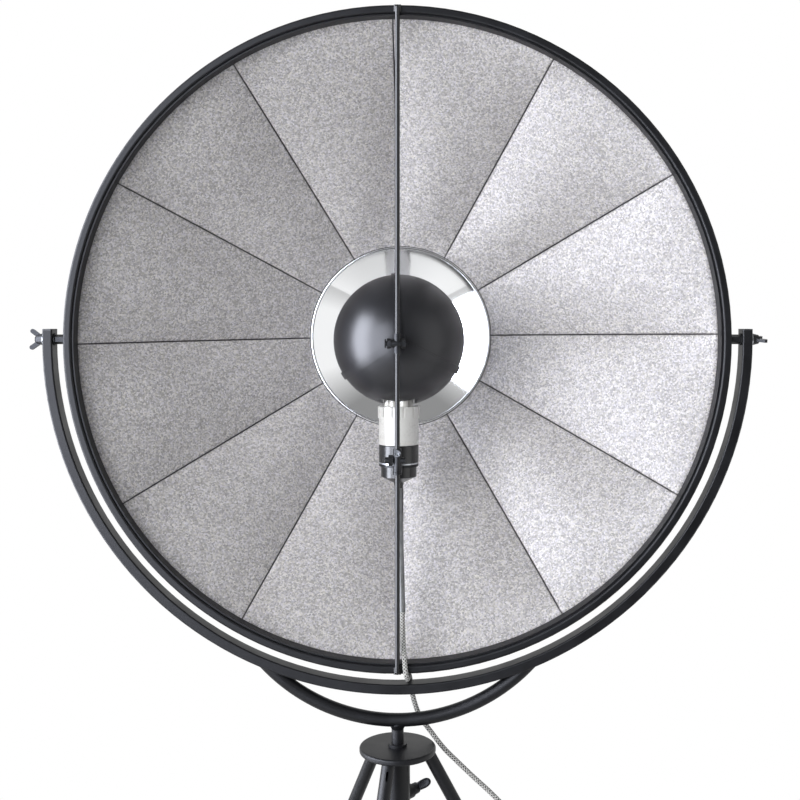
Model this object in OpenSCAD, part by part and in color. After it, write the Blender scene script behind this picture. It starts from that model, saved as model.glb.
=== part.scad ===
// Tripod spotlight floor lamp: a round fabric reflector that tilts in a fork on a tripod.
// Millimetres. X is the viewer's right, Y runs away from the viewer, Z is up.
// The origin lies on the floor under the post, midway between the three feet.

/* [Tripod] */
// Height of the disc's top face above the floor
disc_top_z = 950; // [850:5:1050]
// Radius of the disc that joins the legs
disc_r = 38.5; // [37.5:0.5:46]
// Thickness of the disc
disc_t = 6; // [5:0.5:9]
// Rounding of the disc's edge
disc_round = 2; // [1:0.25:2.4]
// Outside diameter of a leg tube
leg_d = 13; // [10:0.5:14]
// Wall of a leg tube
leg_wall = 1.5; // [1:0.1:2.2]
// Distance of a leg's upper end from the post's axis
leg_top_r = 29.5; // [26:0.5:30]
// Radius of the circle on which the feet stand
foot_circle_r = 532; // [450:2:600]
// Turn of the first leg from the viewer's right
leg_turn = 13.6; // [0:0.2:30]
// Width of the slot near a leg's upper end
leg_slot_w = 2.2; // [1.5:0.1:3]
// Length of that slot
leg_slot_l = 9; // [5:0.5:12]
// Diameter of a foot's round pad
foot_pad_d = 26; // [24:0.5:34]
// Height of that pad
foot_pad_h = 10; // [8:0.5:14]
// Wall of the foot's slanted socket round the leg
foot_wall = 2.4; // [1.6:0.1:3]
// Depth of the leg in its foot
foot_grip = 24; // [16:1:34]
// Height of the spreader's middle above the column's lower end
spreader_rise = 22; // [16:1:90]
// Diameter of a spreader strut
strut_d = 8; // [6.5:0.5:10]
// Wall of the spreader's hub round the column
spreader_wall = 4; // [3:0.5:8]
// Height of that hub
spreader_h = 22; // [16:1:30]

/* [Post] */
// Outside diameter of the column tube
column_d = 25; // [23:0.5:28]
// Wall of the column tube
column_wall = 1.5; // [1:0.1:2]
// Length of the column tube under the disc
column_len = 400; // [380:5:420]
// Outside diameter of the stem that slides and turns in it
stem_d = 12.3; // [10.5:0.1:13]
// Wall of the stem
stem_wall = 1.5; // [1:0.1:2.5]
// How far the stem can be drawn out
post_lift = 250; // [150:5:270]
// Length of the stem that shows when it is pushed in
stem_show = 16.3; // [12:0.1:40]
// Diameter of the collar on the disc
collar_d = 18.8; // [18:0.2:24]
// Height of that collar
collar_h = 3; // [2:0.25:6]
// Diameter of the collar's spigot in the disc
collar_spigot_d = 16; // [15:0.25:17.5]
// Height of the guide bush at the stem's lower end
guide_h = 30; // [20:1:40]
// How far the wing screw lies below the disc's top
clamp_drop = 52; // [40:1:70]
// Turn of the wing screw round the column
clamp_turn = 50; // [30:1:70]
// Diameter of the wing screw
clamp_d = 8; // [6:0.5:9]
// Length of the threaded boss on the column
clamp_boss_l = 8; // [6:0.5:12]

/* [Fork] */
// Radial width of the fork's tube
yoke_w = 10; // [8:0.5:14]
// Depth of the fork's tube
yoke_dp = 18; // [14:0.5:19]
// Wall of the fork's tube
yoke_wall = 1.5; // [1:0.1:2]
// Gap between the shade's rim and the fork
yoke_gap = 11; // [9:0.5:16]
// Height of the fork's ends above the pivots, without their caps
yoke_end_h = 9; // [8:0.5:16]
// Tube diameter of the crescent under the fork
crescent_d = 13.4; // [11:0.2:16]
// Radius of the crescent's centre line
crescent_r = 183; // [150:1:220]
// Distance from the fork's underside to the crescent's centre line
crescent_gap = 28; // [24:0.5:40]

/* [Pivots] */
// Diameter of the pivot studs
stud_d = 6; // [5:0.5:7]
// Width across the flats of the hexagonal spacers
spacer_af = 8.5; // [8:0.5:12]
// Outside diameter of the bushes in the fork
bush_d = 9; // [8.5:0.25:11]
// Turn of the left wing nut on its stud
left_nut_turn = 8; // [0:1:180]
// Turn of the right wing nut on its stud
right_nut_turn = 100; // [0:1:180]
// Overall width across the wings of a wing nut
wing_nut_w = 21; // [19:0.5:28]

/* [Rim] */
// Outside radius of the shade's rim
rim_r = 335; // [300:1:360]
// Radial width of the rim
rim_w = 8; // [7:0.25:10]
// Depth of the rim
rim_dp = 20; // [18:0.5:26]
// Wall of the rim's tube
rim_wall = 1.2; // [0.8:0.1:1.8]
// Thickness of the hoop inside the rim
hoop_t = 1.6; // [1:0.1:2.5]
// Depth of the hoop
hoop_dp = 14.5; // [10:0.5:15]
// Diameter of the rod across the front
rod_d = 5; // [4:0.25:6]

/* [Canopy] */
// Depth from the pivot axis to the dish's edge
dish_y = 150; // [120:1:180]
// Backward bulge of a rib between its ends
rib_bulge = 12; // [4:0.5:24]
// Diameter of a rib
rib_d = 4; // [3:0.25:5]
// Number of panels
panels = 12; // [8:1:16]
// Turn of the seams from the pivot axis
seam_turn = 0.9; // [0:0.1:3]
// Thickness of the silver lining
lining_t = 1; // [0.8:0.1:1.4]
// Thickness of the black outer cover
cover_t = 1.2; // [0.8:0.1:1.6]
// Outside radius of the hub ring
hub_r = 109; // [106:0.5:125]
// Thickness of the hub ring
hub_t = 5; // [4:0.5:7]
// Depth of the domed cap at the back
back_depth = 36; // [33:0.5:50]
// Sheet thickness of that cap
back_t = 1.2; // [0.8:0.1:2]

/* [Dish and dome] */
// Radius of the chrome dish at its rolled edge
dish_r = 101.5; // [98:0.5:103]
// Depth of the dish
dish_depth = 36; // [24:0.5:38]
// Sheet thickness of the dish
dish_t = 1.2; // [0.8:0.1:1.6]
// Diameter of its rolled edge
bead_d = 3.2; // [2.4:0.1:4]
// Outside radius of the black dome
dome_r = 70; // [62:0.5:76]
// Sheet thickness of the dome
dome_t = 1.2; // [0.8:0.1:2]
// Distance of the dome's top behind the rod
dome_back = 8; // [7.5:0.25:14]
// How far the dome's centre lies below the pivot axis
dome_drop = 2; // [0:0.5:6]
// Width of the notch for the bulb in the dome's edge
notch_w = 33.5; // [33:0.5:40]
// Width of a spider arm
arm_w = 8.5; // [6:0.5:12]
// Thickness of a spider arm
arm_t = 1.5; // [1:0.1:2]
// Height of the clamp that holds the dome on the rod
dome_clamp_h = 20; // [16:0.5:28]

/* [Lampholder] */
// Distance of the holder's axis behind the pivot axis
holder_y = 55; // [50:0.5:60]
// Height of the holder's upper edge below the pivot axis
holder_drop = 112; // [108:0.5:130]
// Outside diameter of the upper shell
shell_d = 42; // [40:0.5:46]
// Height of the upper shell
shell_h = 18.6; // [16:0.2:24]
// Thickness of the bright ring under it
ring_t = 1.5; // [1:0.1:2.5]
// Thickness of the plate that carries the holder
plate_t = 2.8; // [2:0.1:4]
// Diameter of the lower cap
cap_d = 37.6; // [35:0.2:40]
// Height of the lower cap
cap_h = 17; // [15:0.5:24]
// Outside diameter of the threaded liner
liner_d = 28.4; // [28:0.1:30]
// Width of the plate's arm to the rod
arm_plate_w = 9; // [7:0.5:14]
// Outside diameter of the sliding clamp on the rod
slider_d = 8.4; // [7.5:0.1:11]
// Height of the sliding clamp
slider_h = 23; // [20:0.5:30]
// Diameter of the knurled thumb screw
knurl_d = 11; // [9:0.5:14]

/* [Bulb] */
// Diameter of the bulb's white base
bulb_d = 42; // [38:0.5:42]
// Height of that base under its collar
bulb_h = 28; // [22:0.5:34]
// Diameter of the slotted collar
bulb_collar_d = 44.2; // [43:0.2:48]
// Height of the collar
bulb_collar_h = 12.4; // [8:0.2:16]
// Diameter of a glass tube
glass_d = 9.5; // [8:0.25:10]
// Radius of the circle that the tubes stand on
glass_circle_r = 10.7; // [10.2:0.1:11]
// Height of the tubes above the collar
glass_h = 105; // [70:1:115]

/* [Cord] */
// Diameter of the braided cord
cord_d = 5; // [4:0.1:5.4]
// Outside diameter of the grey sleeve under the holder
sleeve_d = 6.6; // [6.4:0.1:8]
// Mean radius of the put-away coil
coil_mean_r = 30; // [27:0.5:34]
// Radial step from one turn of the coil to the next
coil_pitch = 6.4; // [6.3:0.1:7]
// Turns in each of the coil's two layers
coil_turns = 3.5; // [1.5:1:3.5]
// Radius of the foot switch
switch_r = 30; // [26:0.5:34]
// Height of the switch's base
switch_base_h = 9; // [8:0.5:12]
// Height of the switch's cover
switch_cover_h = 9; // [8:0.5:14]
// Radius of the switch's button
button_r = 10; // [8:0.5:14]
// Travel of the button
button_travel = 3; // [2:0.25:3.5]
// Width of the plug
plug_w = 36; // [30:0.5:42]
// Length of the plug's body
plug_l = 32; // [26:0.5:40]
// Diameter of a plug pin
pin_d = 4; // [3.6:0.1:4.8]
// Length of a plug pin
pin_l = 19; // [17:0.5:20]
// Distance between the plug pins
pin_gap = 19; // [17:0.5:20]

/* [Hidden] */
$fn = 48;
FINE = 144;
COARSE = 32;
EPS = 0.01;
BLACK = "#26272b";
DARK = "#191a1c";
BRIGHT = "#c9ccd2";
SILVER = "#b5b3b4";
WHITE = "#f1f1ef";
BRASS = "#c2a35b";

// Clearances
run_gap = 0.1;      // a tube or screw that turns or slides in its bore
stud_gap = 0.05;    // the pivot studs and the rod in their bores
lay_gap = 0.2;      // a piece that lies on another
soft_gap = 0.4;     // cloth beside the frame that carries it

// Tripod
leg_turns = [leg_turn, leg_turn + 120, leg_turn + 240];
disc_bottom_z = disc_top_z - disc_t;
leg_axis_foot_z = foot_pad_h / 2;
leg_lean = atan((foot_circle_r - leg_top_r) / (disc_bottom_z - leg_axis_foot_z));
leg_end_z = foot_pad_h + 4;
leg_l = (disc_bottom_z - leg_end_z) / cos(leg_lean);
leg_slot_s = 13;
leg_slot_turn = 19;
foot_socket_d = leg_d + 2 * (foot_wall + run_gap);
foot_floor = 3;
strut_screw_d = 4;
strut_head_d = 8;
strut_head_h = 2.4;
spreader_z = disc_bottom_z - column_len + spreader_rise;
spreader_leg_r = leg_top_r + (disc_bottom_z - spreader_z) * tan(leg_lean);
spreader_hub_r = column_d / 2 + run_gap + spreader_wall;

// Post and fork, stacked up from the disc
column_bore = column_d - 2 * column_wall;
clamp_z = disc_top_z - clamp_drop;
keeper_t = 3;
keeper_d = column_bore - 2;
guide_top_z = clamp_z - clamp_d / 2 - 4 - post_lift - keeper_t - run_gap;
stem_bottom_z = guide_top_z - guide_h - keeper_t - 2 * run_gap;
collar_top_z = disc_top_z + collar_h;
crescent_low_z = collar_top_z + stem_show;
yoke_in_r = rim_r + yoke_gap;
yoke_out_r = yoke_in_r + yoke_w;
yoke_mid_r = yoke_in_r + yoke_w / 2;
yoke_round = 1.5;
yoke_cap_t = 1.5;
yoke_cap_in = 3;
pivot_z = crescent_low_z + crescent_d / 2 + crescent_gap + yoke_out_r;
crescent_z = crescent_r - crescent_gap - yoke_out_r;   // its centre, from the pivots
crescent_wall = 1.5;
clamp_hub_r = column_d / 2 + clamp_boss_l + 1;
clamp_tip_r = stem_d / 2 + 0.25;

// Pivots
bush_flange_t = 1;
bush_flange_d = bush_d + 3;
bush_x = yoke_in_r - bush_flange_t - lay_gap;
spacer_end = bush_x - lay_gap;
washer_t = 1.2;
washer_d = 12;
washer_x = yoke_out_r + 0.3;
wing_nut_x = washer_x + washer_t + lay_gap;
wing_nut_h = 6;
stud_end = wing_nut_x + wing_nut_h + 1.5;

// Rim, hoop and rod
rim_round = 2;
rim_in_r = rim_r - rim_w;
hoop_out_r = rim_in_r - lay_gap;
hoop_front_y = -rim_dp / 2 + 3;
hoop_back_y = hoop_front_y + hoop_dp;
rod_y = -rim_dp / 2 - rod_d / 2;
rod_half = rim_r - 0.5;
weld_l = 7;

// Dish, hub ring and back cap
bead_y = dish_y + bead_d / 2;
dish_sphere_r = (dish_r * dish_r + dish_depth * dish_depth) / (2 * dish_depth);
dish_back_y = bead_y + dish_depth;
hub_front_y = dish_y + bead_d + lay_gap;
hub_in_r = dish_r - 1;
hub_mid_y = hub_front_y + hub_t / 2;
hub_bolt_d = 5;
hub_head_d = 12;

// The ribs are arcs in radial planes. The lining and the cover follow the same arc at other radii.
rib_a = [rim_in_r + 1.5, rim_dp / 2 + 0.36 * rib_d + 0.2];
rib_b = [hub_r + 1, hub_mid_y];
rib_chord = norm(rib_b - rib_a);
rib_arc_r = (rib_chord * rib_chord / 4 + rib_bulge * rib_bulge) / (2 * rib_bulge);
rib_out = [rib_b.y - rib_a.y, rib_a.x - rib_b.x] / rib_chord;
rib_centre = (rib_a + rib_b) / 2 - (rib_arc_r - rib_bulge) * rib_out;
rib_angle_a = atan2(rib_a.y - rib_centre.y, rib_a.x - rib_centre.x);
rib_angle_b = atan2(rib_b.y - rib_centre.y, rib_b.x - rib_centre.x);
panel_angle = 360 / panels;
lining_inset = 4.2;
lining_arc_r = rib_arc_r - rib_d / 2 - lining_inset;
lining_edge_y = hoop_back_y + lining_t / 2 + soft_gap;
lining_in_r = dish_r + bead_d / 2 + lay_gap + lining_t / 2;
lining_a = asin((lining_edge_y - rib_centre.y) / lining_arc_r);
lining_b = acos((lining_in_r - rib_centre.x) / lining_arc_r);
cover_arc_r = rib_arc_r + rib_d / 2 + soft_gap + cover_t / 2;
cover_a = asin((rim_dp / 2 + cover_t / 2 + soft_gap - rib_centre.y) / cover_arc_r);
cover_in_r = hub_r - 5;
cover_b = acos((cover_in_r - rib_centre.x) / cover_arc_r);
PANEL_STEPS = 4;
RIB_STEPS = 6;
back_r = hub_r - 2;
back_seat_r = cover_arc_r + cover_t / 2 + soft_gap;
back_y = rib_centre.y + sqrt(pow(back_seat_r, 2) - pow(back_r - back_t - rib_centre.x, 2));
back_sphere_r = (back_r * back_r + back_depth * back_depth) / (2 * back_depth);
back_centre_y = back_y + back_depth - back_sphere_r;

// Dome, its spider and its clamp
rod_back_y = rod_y + rod_d / 2;
dome_y = rod_back_y + dome_back + dome_r;
spider_r = dome_r + lay_gap;
arm_turns = [93, 213, 333];
spider_disc_r = 9;
dome_clamp_r = rod_d / 2 + 1.2;
dome_clamp_z = -dome_drop - 2;
dome_boss_d = 8.5;
dome_boss_x = [-6.4, 4.2];
dome_screw_d = 5;
dome_screw_x = [-12, 10];
dome_nut_af = 9;
dome_nut_t = 3.8;
dome_head_d = 9;
dome_pad_y = dome_y - spider_r - arm_t;
glass_r = glass_circle_r + glass_d / 2;
notch_l = dome_y - holder_y + glass_r + 1;

// Lampholder, from its upper edge down, measured from the pivot axis
shell_top_z = -holder_drop;
shell_bottom_z = shell_top_z - shell_h;
ring_bottom_z = shell_bottom_z - ring_t;
plate_bottom_z = ring_bottom_z - plate_t;
cap_bottom_z = plate_bottom_z - cap_h;
cap_taper = 6;
grip_d = 11;
grip_h = 6.1;
grip_bottom_z = cap_bottom_z - grip_h;
liner_wall = 0.6;
liner_l = 24;
bulb_thread_d = 26.4;
bulb_tip_z = shell_top_z - liner_l - 1.5;
core_top_z = bulb_tip_z - lay_gap;
core_h = 8;
slider_bottom_z = ring_bottom_z;
thumb_z = slider_bottom_z + 11.5;
thumb_d = 4;
set_screw_z = slider_bottom_z + slider_h - 4;
bulb_top_z = shell_top_z + bulb_h + bulb_collar_h;
bulb_slots = 12;

// Cord: the points were chosen by hand, in the frame of the whole lamp.
cord_bore = cord_d - 0.6;
meet_gap = 0.05;    // between two stretches of the cord
upper_route = [
    [0, 55, 1202], [0, 55, 1193], [0.3, 53.5, 1182], [0.8, 50, 1172], [1.3, 45.5, 1162],
    [2.2, 36, 1142], [3, 27, 1122], [3.8, 17.5, 1102], [4.6, 8, 1082], [5.4, -1, 1062],
    [6.5, -8.5, 1046], [7, -12, 1041], [7.5, -13.5, 1036]
];
SLEEVED = 9;    // the sleeve covers this many of the upper route's points
drop_route = [
    [7.5, -13.5, 1036], [8, -15, 1031], [8.8, -14.6, 1026], [9.5, -12, 1022.4],
    [10, -8.5, 1020], [10.4, -4.5, 1019.3], [10.8, 0, 1019.3], [11.2, 4.5, 1019.3],
    [11.6, 8.5, 1018.5], [12, 12, 1016], [12.5, 14.6, 1012.3], [13, 15.3, 1007.5],
    [14.2, 15.5, 1000], [16.5, 15.5, 990], [20.5, 15.5, 978.5], [26.5, 15.5, 968],
    [34, 15.5, 958]
];
fall_route = [
    [34, 15.5, 958], [40, 15.5, 950], [48, 15, 940.5], [60, 14, 929], [75, 13, 915], [95, 12, 897],
    [113, 10, 879], [129, 8, 860], [142, 6, 839], [152, 4, 815], [159, 2, 788],
    [164, 0, 755], [167, -2, 715], [169, -4, 665], [170, -6, 610], [171, -8, 550],
    [171, -9, 490], [172, -10, 430], [172, -11, 370], [172, -12, 310], [172, -14, 250],
    [172, -15, 190], [172, -17, 130], [172, -19, 90], [172, -20, 62]
];
floor_route = [
    [172, -20, 62], [172, -20.5, 48], [171, -23, 35], [168, -31, 20], [163, -45, 9],
    [158, -62, 3.6], [154, -82, 2.6], [151, -101, 3], [150, -115, 4.6], [150, -126, 6], [150, -139, 6]
];
tail_route = [
    [150, -211, 6], [150, -221, 6], [150, -232, 4.6], [150, -244, 3], [150, -258, 2.6],
    [150, -276, 2.6], [150, -294, 2.6]
];
switch_at = [150, -175];
switch_cord_z = 6;
switch_boss_r = 4.5;
switch_boss_reach = 36;
switch_wall = 2;
button_flange = 2;

// Coil: in along the floor, up a layer in the half turn where it reverses, and out again
coil_low_z = 2.6;
coil_rise = 5.8;
coil_out_r = coil_mean_r + coil_turns * coil_pitch / 2;
coil_in_r = coil_out_r - coil_turns * coil_pitch;
coil_lead = 6;
tail_end = tail_route[len(tail_route) - 1];
coil_at = [tail_end.x - coil_out_r, tail_end.y - coil_lead];
coil_total = 2 * coil_turns + 0.5;
LOOP_RINGS = 24;
plug_x = coil_at.x - coil_out_r;
plug_lead = 24;
plug_cord_y = coil_at.y + plug_lead;
plug_z = coil_low_z + coil_rise;
plug_t = 2 * (plug_z - 0.1);
relief_l = 22;
plug_back_y = plug_cord_y + relief_l;
plug_face_y = plug_back_y + plug_l;
pin_root = 6;
pin_root_d = pin_d + 1;

// ---- Helpers ----

// Moves children from the pivots' frame to the lamp's.
module at_pivot() translate([0, 0, pivot_z]) children();

// Turns a solid about Z into one about Y: heights run to the back.
module about_y() rotate([-90, 0, 0]) children();

// Turns children's Z to the right or the left, along the pivot axis.
module along_x(side = 1) rotate([0, side * 90, 0]) children();

module rounded_square(w, d, r) {
    square([w - 2 * r, d], center = true);
    square([w, d - 2 * r], center = true);
    for (x = [-1, 1], y = [-1, 1])
        translate([x * (w / 2 - r), y * (d / 2 - r)]) circle(r, $fn = 24);
}

module box_section(w, d, wall, r) {
    difference() {
        rounded_square(w, d, r);
        rounded_square(w - 2 * wall, d - 2 * wall, max(r - wall, 0.3));
    }
}

module ring(r_out, r_in, h) {
    difference() {
        cylinder(r = r_out, h = h, $fn = FINE);
        translate([0, 0, -1]) cylinder(r = r_in, h = h + 2, $fn = FINE);
    }
}

module hexagon(af) circle(d = af / cos(30), $fn = 6);

// A round-ended paddle from the origin along X
module paddle(l, w, t) {
    linear_extrude(t, center = true) {
        circle(d = w);
        translate([l, 0]) circle(d = w);
        translate([0, -w / 2]) square([l, w]);
    }
}

// The frame of a leg: Z runs down the leg, and -X faces outwards and up.
module on_leg(turn) {
    rotate([0, 0, turn])
        translate([leg_top_r, 0, disc_bottom_z])
            rotate([0, 180 - leg_lean, 0])
                children();
}

function unit(v) = v / norm(v);
function heading(p, i) = unit(p[min(i + 1, len(p) - 1)] - p[max(i - 1, 0)]);
function across(v, t) = unit(v - (v * t) * t);
function carried(p, side, i = 0) =
    let (n = across(side, heading(p, i)))
    i == len(p) - 1 ? [n] : concat([n], carried(p, n, i + 1));
function ring_points(p, r, sides, side) =
    let (ns = carried(p, side))
    [for (i = [0:len(p) - 1], k = [0:sides - 1])
        let (t = heading(p, i), n = ns[i], b = cross(t, n), a = 360 * (k + 0.5) / sides)
        p[i] + r * (cos(a) * n + sin(a) * b)];
function wall_faces(rings, sides, first = 0, flip = false) =
    [for (i = [0:rings - 2], k = [0:sides - 1], half = [0, 1])
        let (a = first + i * sides + k, b = first + i * sides + (k + 1) % sides)
        let (f = half == 0 ? [a, a + sides, b] : [b, a + sides, b + sides])
        flip ? [f[0], f[2], f[1]] : f];

// A stretch of cord that starts just clear of the one before it
function after_meet(p) =
    concat([p[0] + meet_gap * heading(p, 0)], [for (i = [1:len(p) - 1]) p[i]]);

// A solid round cord along its points
module cord_tube(p, d, sides = 8, side = [1, 0, 0]) {
    n = len(p);
    polyhedron(
        points = ring_points(p, d / 2, sides, side),
        faces = concat(
            wall_faces(n, sides),
            [[for (k = [0:sides - 1]) k]],
            [[for (k = [sides - 1:-1:0]) (n - 1) * sides + k]]
        )
    );
}

// An open tube along its points
module open_tube(p, d, bore, sides = 8, side = [1, 0, 0]) {
    n = len(p);
    m = n * sides;
    polyhedron(
        points = concat(ring_points(p, d / 2, sides, side), ring_points(p, bore / 2, sides, side)),
        faces = concat(
            wall_faces(n, sides),
            wall_faces(n, sides, m, true),
            [for (k = [0:sides - 1], half = [0, 1]) let (l = (k + 1) % sides)
                half == 0 ? [k, l, m + k] : [l, m + l, m + k]],
            [for (k = [0:sides - 1], half = [0, 1]) let (l = (k + 1) % sides, e = m - sides)
                half == 0 ? [e + l, e + k, m + e + k] : [e + l, m + e + k, m + e + l]]
        )
    );
}

// ---- Tripod ----

module leg(turn) {
    color(BLACK)
    difference() {
        on_leg(turn) difference() {
            translate([0, 0, -leg_d]) cylinder(d = leg_d, h = leg_l + leg_d);
            translate([0, 0, -leg_d - 1]) cylinder(d = leg_d - 2 * leg_wall, h = leg_l + leg_d + 2);
            rotate([0, 0, 180 - leg_slot_turn])
                translate([0, -leg_slot_w / 2, leg_slot_s - leg_slot_l / 2])
                    cube([leg_d, leg_slot_w, leg_slot_l]);
        }
        translate([-2 * disc_r, -2 * disc_r, disc_bottom_z])
            cube([4 * disc_r, 4 * disc_r, 2 * disc_r]);
        rotate([0, 0, turn])
            translate([spreader_leg_r, 0, spreader_z])
                rotate([0, 90, 0])
                    cylinder(d = strut_screw_d + 2 * run_gap, h = 3 * leg_d, center = true);
    }
}

module leg_right() leg(leg_turns[0]);
module leg_left() leg(leg_turns[1]);
module leg_front() leg(leg_turns[2]);

module feet() {
    color(DARK)
    for (turn = leg_turns) difference() {
        union() {
            rotate([0, 0, turn]) translate([foot_circle_r, 0, 0])
                cylinder(d = foot_pad_d, h = foot_pad_h);
            on_leg(turn) translate([0, 0, leg_l - foot_grip])
                cylinder(d = foot_socket_d, h = foot_grip + foot_floor);
        }
        on_leg(turn) translate([0, 0, leg_l - foot_grip - 1])
            cylinder(d = leg_d + 2 * run_gap, h = foot_grip + 1 + lay_gap);
    }
}

module tripod_disc() {
    color(BLACK)
    translate([0, 0, disc_bottom_z])
    difference() {
        rotate_extrude($fn = FINE) {
            square([disc_r - disc_round, disc_t]);
            translate([0, disc_round]) square([disc_r, disc_t - 2 * disc_round]);
            for (y = [disc_round, disc_t - disc_round])
                translate([disc_r - disc_round, y]) circle(disc_round, $fn = 24);
        }
        translate([0, 0, -1]) cylinder(d = collar_spigot_d + 2 * run_gap, h = disc_t + 2);
    }
}

module column_tube() {
    color(BLACK)
    difference() {
        union() {
            translate([0, 0, disc_bottom_z - column_len]) cylinder(d = column_d, h = column_len);
            rotate([0, 0, clamp_turn]) translate([0, 0, clamp_z])
                along_x() cylinder(d = clamp_d + 6, h = column_d / 2 + clamp_boss_l);
        }
        translate([0, 0, disc_bottom_z - column_len - 1])
            cylinder(d = column_bore, h = column_len + 2);
        rotate([0, 0, clamp_turn]) translate([0, 0, clamp_z])
            along_x() cylinder(d = clamp_d + 2 * run_gap, h = column_d);
    }
}

module column_collar() {
    color(BLACK)
    difference() {
        union() {
            translate([0, 0, disc_top_z]) cylinder(d = collar_d, h = collar_h);
            translate([0, 0, disc_bottom_z - 6]) cylinder(d = collar_spigot_d, h = disc_t + 6 + EPS);
        }
        translate([0, 0, disc_bottom_z - 7]) cylinder(d = stem_d + 2 * run_gap, h = disc_t + collar_h + 8);
    }
}

module column_screw() {
    wing_l = 13;
    wing_w = 10;
    color(DARK)
    rotate([0, 0, clamp_turn]) translate([0, 0, clamp_z]) along_x() rotate([0, 0, 55]) {
        translate([0, 0, clamp_tip_r]) cylinder(d = clamp_d, h = clamp_hub_r - clamp_tip_r + 1);
        translate([0, 0, clamp_hub_r]) cylinder(d = 11.5, h = 9);
        for (side = [-1, 1])
            translate([side * 2, 0, clamp_hub_r + 5])
                rotate([90, 0, 0])
                    scale([side, 1, 1])
                        rotate([0, 0, 28])
                            paddle(wing_l, wing_w, 3.4);
    }
}

module spreader_hub() {
    color(BLACK)
    translate([0, 0, spreader_z - spreader_h / 2])
        difference() {
            ring(spreader_hub_r, column_d / 2 + run_gap, spreader_h);
            for (turn = leg_turns)
                rotate([0, 0, turn]) translate([spreader_hub_r - 1.5, 0, spreader_h / 2])
                    along_x() cylinder(d = strut_d + 2 * run_gap, h = 4);
        }
}

module spreader_struts() {
    color(BLACK)
    for (turn = leg_turns) difference() {
        rotate([0, 0, turn]) translate([spreader_hub_r - 1.5 + lay_gap, 0, spreader_z])
            along_x() cylinder(d = strut_d, h = spreader_leg_r - spreader_hub_r);
        on_leg(turn) cylinder(d = leg_d + 2 * run_gap, h = leg_l);
        rotate([0, 0, turn]) translate([spreader_leg_r - leg_d / 2 - 15, 0, spreader_z])
            along_x() cylinder(d = strut_screw_d + 2 * run_gap, h = leg_d + 17);
    }
}

module spreader_screws() {
    head_r = spreader_leg_r + leg_d / 2 / cos(leg_lean) + strut_head_d / 2 * tan(leg_lean) + lay_gap;
    color(DARK)
    for (turn = leg_turns)
        rotate([0, 0, turn]) translate([head_r, 0, spreader_z]) along_x() {
            cylinder(d = strut_head_d, h = strut_head_h);
            translate([0, 0, spreader_leg_r - head_r - leg_d / 2 - 12])
                cylinder(d = strut_screw_d, h = head_r - spreader_leg_r + leg_d / 2 + 12 + EPS);
        }
}

// ---- Post and fork ----

module stem_guide() {
    color(WHITE)
    translate([0, 0, guide_top_z - guide_h])
        ring(column_bore / 2 - run_gap, stem_d / 2 + run_gap, guide_h);
}

module crescent_arc(d) {
    at_pivot() translate([0, 0, crescent_z]) about_y()
        rotate([0, 0, 10])
            rotate_extrude(angle = 160, $fn = FINE)
                translate([crescent_r, 0]) circle(d = d);
}

module stem() {
    flare_h = 4;
    color(BLACK)
    difference() {
        union() {
            translate([0, 0, stem_bottom_z])
                cylinder(d = stem_d, h = crescent_low_z + crescent_d / 2 - stem_bottom_z);
            translate([0, 0, crescent_low_z - flare_h / 2])
                cylinder(d1 = stem_d, d2 = stem_d + flare_h, h = flare_h);
            for (z = [stem_bottom_z, guide_top_z + run_gap])
                translate([0, 0, z]) cylinder(d = keeper_d, h = keeper_t);
        }
        crescent_arc(crescent_d);
        translate([0, 0, stem_bottom_z - 1])
            cylinder(d = stem_d - 2 * stem_wall, h = crescent_low_z - stem_bottom_z - 3);
    }
}

module crescent() {
    color(BLACK)
    difference() {
        crescent_arc(crescent_d);
        crescent_arc(crescent_d - 2 * crescent_wall);
        at_pivot() about_y() cylinder(r = yoke_out_r, h = 2 * crescent_d, center = true, $fn = FINE);
    }
}

module fork_path(w, d, wall) {
    about_y() rotate_extrude(angle = 180, $fn = FINE)
        translate([yoke_mid_r, 0]) box_section(w, d, wall, yoke_round);
    for (x = [-1, 1]) translate([x * yoke_mid_r, 0, 0])
        linear_extrude(yoke_end_h) box_section(w, d, wall, yoke_round);
}

module fork() {
    color(BLACK)
    at_pivot() difference() {
        fork_path(yoke_w, yoke_dp, yoke_wall);
        for (side = [-1, 1]) along_x(side) translate([0, 0, yoke_in_r - 2])
            cylinder(d = bush_d + 2 * lay_gap, h = yoke_w + 4);
    }
}

module fork_bushes() {
    color(DARK)
    at_pivot() for (side = [-1, 1]) along_x(side) difference() {
        union() {
            translate([0, 0, bush_x]) cylinder(d = bush_flange_d, h = bush_flange_t);
            translate([0, 0, bush_x]) cylinder(d = bush_d, h = yoke_out_r - bush_x);
        }
        translate([0, 0, yoke_in_r - 5]) cylinder(d = stud_d + 2 * stud_gap, h = yoke_w + 10);
    }
}

module fork_end_caps() {
    in_w = yoke_w - 2 * yoke_wall - 2 * run_gap;
    in_dp = yoke_dp - 2 * yoke_wall - 2 * run_gap;
    color(DARK)
    at_pivot() for (x = [-1, 1]) translate([x * yoke_mid_r, 0, yoke_end_h]) {
        linear_extrude(yoke_cap_t) rounded_square(yoke_w, yoke_dp, yoke_round);
        translate([0, 0, -yoke_cap_in]) linear_extrude(yoke_cap_in + EPS)
            rounded_square(in_w, in_dp, 0.5);
    }
}

// ---- Shade: rim, pivots and rod ----

module rim() {
    color(BLACK)
    at_pivot() about_y() rotate_extrude($fn = FINE)
        translate([rim_r - rim_w / 2, 0]) box_section(rim_w, rim_dp, rim_wall, rim_round);
}

module hoop() {
    color(BLACK)
    at_pivot() about_y() translate([0, 0, hoop_front_y])
        ring(hoop_out_r, hoop_out_r - hoop_t, hoop_dp);
}

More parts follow.
